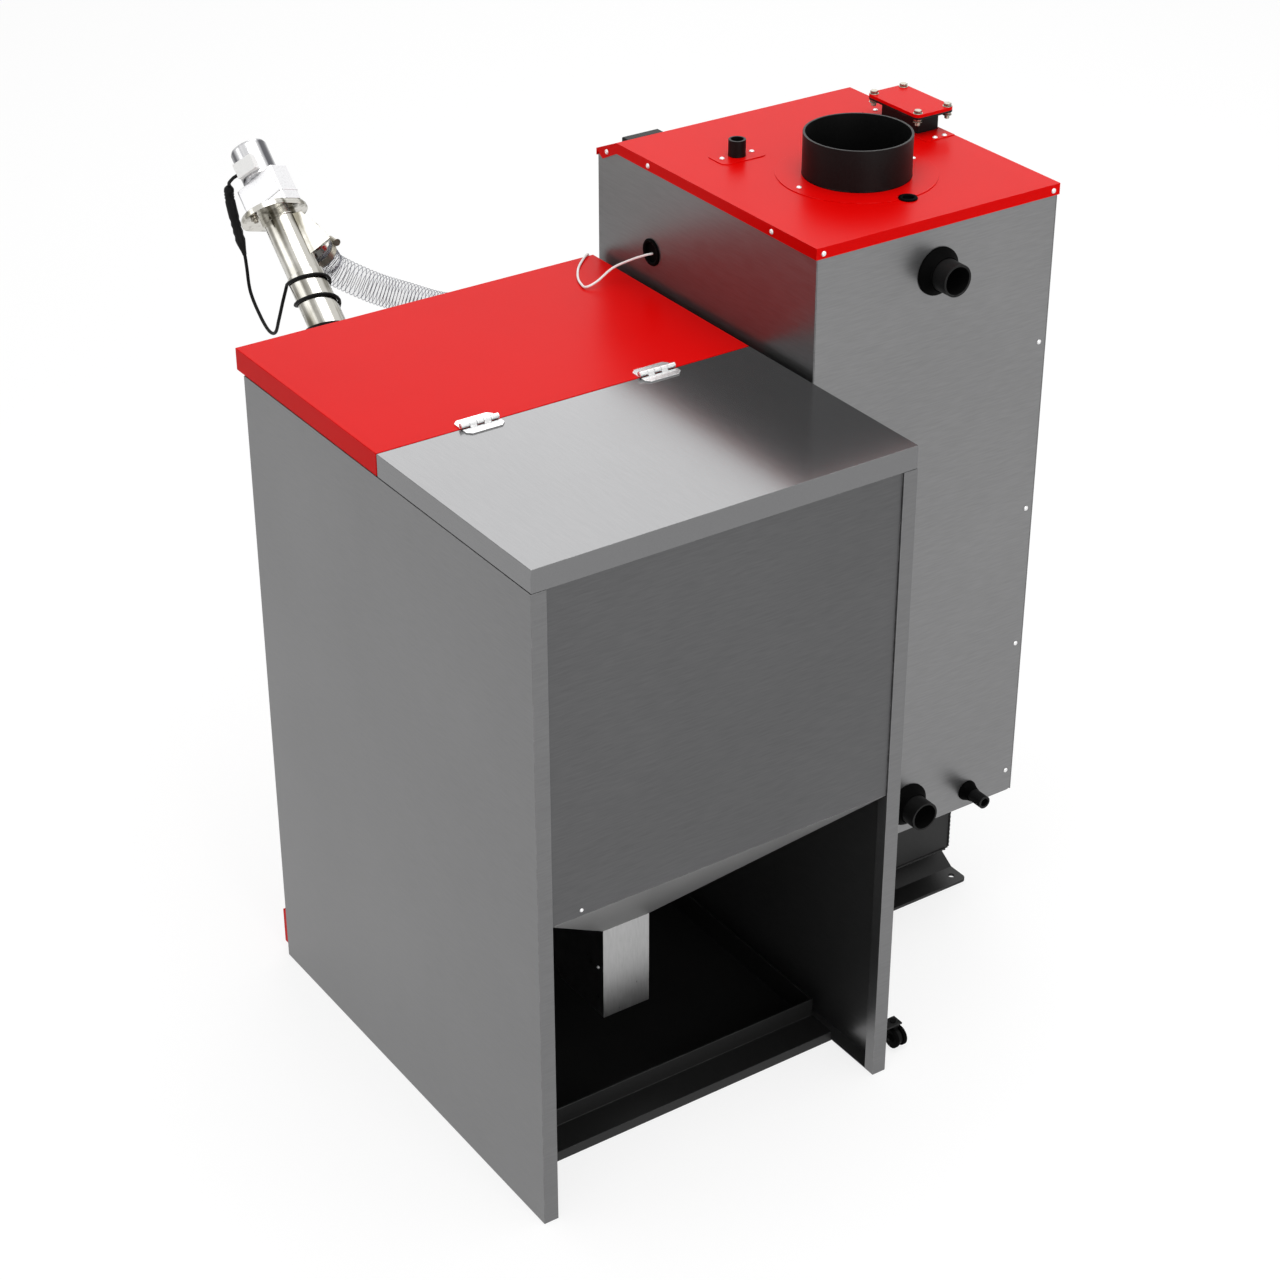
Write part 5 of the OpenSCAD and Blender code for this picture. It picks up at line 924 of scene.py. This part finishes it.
black_plastic = finish("black_plastic", (0.004, 0.004, 0.004), (0.009, 0.009, 0.009), 0.38,
                       fineness=650, bump=0.2, depth=0.0001, specular=0.06)
knob_plastic = finish("knob_plastic", (0.55, 0.56, 0.57), (0.45, 0.46, 0.47), 0.36, metal=0.4,
                      fineness=400)
key_plastic = finish("key_plastic", (0.28, 0.29, 0.30), (0.22, 0.23, 0.24), 0.45, fineness=400)
rocker_plastic = finish("rocker_plastic", (0.38, 0.012, 0.012), (0.44, 0.016, 0.016), 0.25,
                        fineness=300, bump=0.05)
eased("control_case", "controller", 0.0012, black_plastic)
eased("control_knob_cap", "controller_knob", 0.0006, knob_plastic)
eased("control_key_cap", "controller_key", 0.0008, key_plastic)
eased("switch_case", "switch_module", 0.0012, black_plastic)
eased("switch_rocker_cap", "rocker_switch", 0.0007, rocker_plastic)
screen_glass = finish("screen_glass", (0.010, 0.016, 0.022), (0.012, 0.020, 0.028), 0.12,
                      fineness=60, bump=0.0, coat=0.5)
screen_shape = bmesh.new()
bmesh.ops.create_cube(screen_shape, size=1)
bmesh.ops.scale(screen_shape, vec=(0.0838, 0.0006, 0.0584), verts=screen_shape.verts)
bmesh.ops.bevel(screen_shape, geom=screen_shape.edges[:], offset=0.00025, segments=2, profile=0.5,
                affect="EDGES", material=-1)
screen_place = (-0.0739, -0.2573, 1.118)
bmesh.ops.translate(screen_shape, vec=screen_place, verts=screen_shape.verts)
add_piece("control_screen", screen_shape, screen_glass, "boiler")

# -------------------------------------------------------------------------
# Hopper
# Two folded grey side panels carry the inner bin of galvanised sheet, whose funnel ends in a
# bright welded well. A black floor frame with a dust tray closes the hopper below.

# The much lighter colour along the bin's edges is mostly painted highlight
bin_sheet = finish("bin_sheet", (0.084, 0.084, 0.086), (0.110, 0.110, 0.113), 0.42, metal=0.7,
                   fineness=260, stretch=(0.12, 0.12, 1.6), worn_and_lit=(0.6, 0.6, 0.6), wear_and_highlight=0.7,
                   clouds=3)
bright_sheet = finish("bright_sheet", (0.38, 0.38, 0.38), (0.48, 0.48, 0.48), 0.3, metal=1.0,
                      fineness=240, stretch=(1.4, 0.2, 0.2), bump=0.15, clouds=6)
# The hopper's side panels take the darker grey too, painted shade
eased("hopper_outer_panel", "hopper_right_side", 0.0007, shaded_side_sheet)
eased("hopper_inner_panel", "hopper_left_side", 0.0007, shaded_side_sheet)
fuel_bin = eased("fuel_bin", "pellet_bin", 0.0005, bin_sheet)
# A lighter copy of the bin sheet, painted light for the funnel's downward faces
funnel_painted_light = finish("funnel_sheet_painted_light", (0.30, 0.30, 0.30), (0.38, 0.38, 0.38), 0.36,
                      metal=0.6, fineness=240, stretch=(0.2, 0.2, 1.4), bump=0.12)
fuel_bin.data.materials.append(funnel_painted_light)
# The funnel's faces that look down and outward take a lighter copy of the bin sheet, painted light
for face in fuel_bin.data.polygons:
    if -0.95 < face.normal.z < -0.15:
        face.material_index = 1
eased("fuel_well", "auger_well", 0.0005, bright_sheet)
eased("hopper_front_sheet", "hopper_front", 0.0006, grey_sheet)
eased("red_plinth_strip", "hopper_plinth", 0.0006, red_paint)
eased("floor_frame", "base_tray", 0.0009, black_paint)
bin_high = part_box("pellet_bin")[1]
well_low, well_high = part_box("auger_well")
rivet_d, rivet_y, rivet_z = 0.006, well_high.y - 0.014, 0.176
add_piece("bin_rivets", joined([
    stand_on(domed_head(rivet_d), (bin_high.x - 0.0464, bin_high.y, 0.5123), (0, 1, 0)),
    stand_on(domed_head(rivet_d), (well_high.x, rivet_y, rivet_z), (1, 0, 0)),
    stand_on(domed_head(rivet_d), (well_low.x, rivet_y, rivet_z), (-1, 0, 0)),
]), zinc, "boiler")

# -------------------------------------------------------------------------
# Lids
# The front half of the hopper's lid is fixed and red. The rear half is grey, glossy metallic
# sheet, and swings up on two bright steel hinges.

lid_sheet = finish("grey_lid_sheet", (0.180, 0.180, 0.183), (0.198, 0.198, 0.201), 0.19,
                   metal=1.0, fineness=320, stretch=(1.6, 0.1, 1.6), bump=0.015, spread=0.02,
                   clouds=2.5, worn_and_lit=(0.5, 0.5, 0.5), wear_and_highlight=0.4)
bright_steel = finish("hinge_steel", (0.86, 0.86, 0.86), (0.74, 0.74, 0.74), 0.24, metal=0.85,
                      fineness=400, stretch=(0.3, 3, 3), worn_and_lit=(0.95, 0.95, 0.95), wear_and_highlight=0.3)
eased("fixed_lid_half", "front_cover", 0.0011, red_paint, segments=3)
eased("hinged_lid_half", "rear_lid", 0.0011, lid_sheet, segments=3)
eased("fixed_leaves", "fixed_hinge_leaves", 0.0004, bright_steel)
eased("moving_leaves", "lid_hinge_leaves", 0.0004, bright_steel)

# -------------------------------------------------------------------------
# Caster
# A small black twin-wheel caster on an arm at the hopper's inner rear corner. Its fork swivels,
# and its two wheels roll on one axle.

eased("caster_arm", "caster_bracket", 0.0005, black_paint)
eased("caster_body", "caster_fork", 0.0005, black_plastic)
eased("caster_rolls", "caster_wheels", 0.0012, rubber)

# -------------------------------------------------------------------------
# Auger
# A nickel-plated tube with a branch spout, an oval flange, a cast gearbox and a drive motor. The
# screw runs the length of the tube.

# The tube's dark streaks along its axis are painted reflections, drawn by the grain turned to the
# auger's slope
nickel = finish("nickel_plate", (0.60, 0.585, 0.54), (0.14, 0.13, 0.10), 0.15, metal=1.0,
                fineness=70, stretch=(1, 1, 0.02), turn=-47.5, bump=0.04, spread=0.05, clouds=14,
                band=(0.50, 0.64))
cast_metal = finish("cast_metal", (0.92, 0.92, 0.93), (0.70, 0.70, 0.71), 0.36, metal=0.8,
                    fineness=420, bump=0.2, worn_and_lit=(0.9, 0.9, 0.9), wear_and_highlight=0.3)
# The motor's dark and light bands along its axis are painted reflections
motor_metal = finish("motor_metal", (0.70, 0.70, 0.71), (0.12, 0.12, 0.13), 0.22, metal=0.95,
                     fineness=60, stretch=(1, 1, 0.02), turn=-47.5, bump=0.06, band=(0.44, 0.58))
white_plastic = finish("white_plastic", (0.80, 0.80, 0.79), (0.72, 0.72, 0.71), 0.4, fineness=450,
                       bump=0.1)
eased("feed_tube", "auger_tube", 0.0004, nickel)
eased("oval_flange", "auger_flange", 0.0010, nickel, segments=3)
eased("gear_case", "auger_gearbox", 0.0012, cast_metal, segments=3)
eased("drive_motor", "auger_motor", 0.0009, motor_metal, segments=3)
terminal_cap = eased("terminal_cap", "terminal_box", 0.0010, white_plastic)
# The cap covers only the motor's lower end, so it is shortened along the motor by a share
cap_cut = 0.36
cap_foot = min((corner.co - gland_foot).dot(auger_way) for corner in terminal_cap.data.vertices)
for corner in terminal_cap.data.vertices:
    height = (corner.co - gland_foot).dot(auger_way) - cap_foot
    corner.co -= cap_cut * height * auger_way
eased("worm_clamps", "hose_clamps", 0.0003, bolt_zinc)
# The screw keeps the shape of its solid and takes the bare steel
screw_node = frame["nodes"]["auger_screw"]
screw_node.data.materials.clear()
screw_node.data.materials.append(raw_steel)
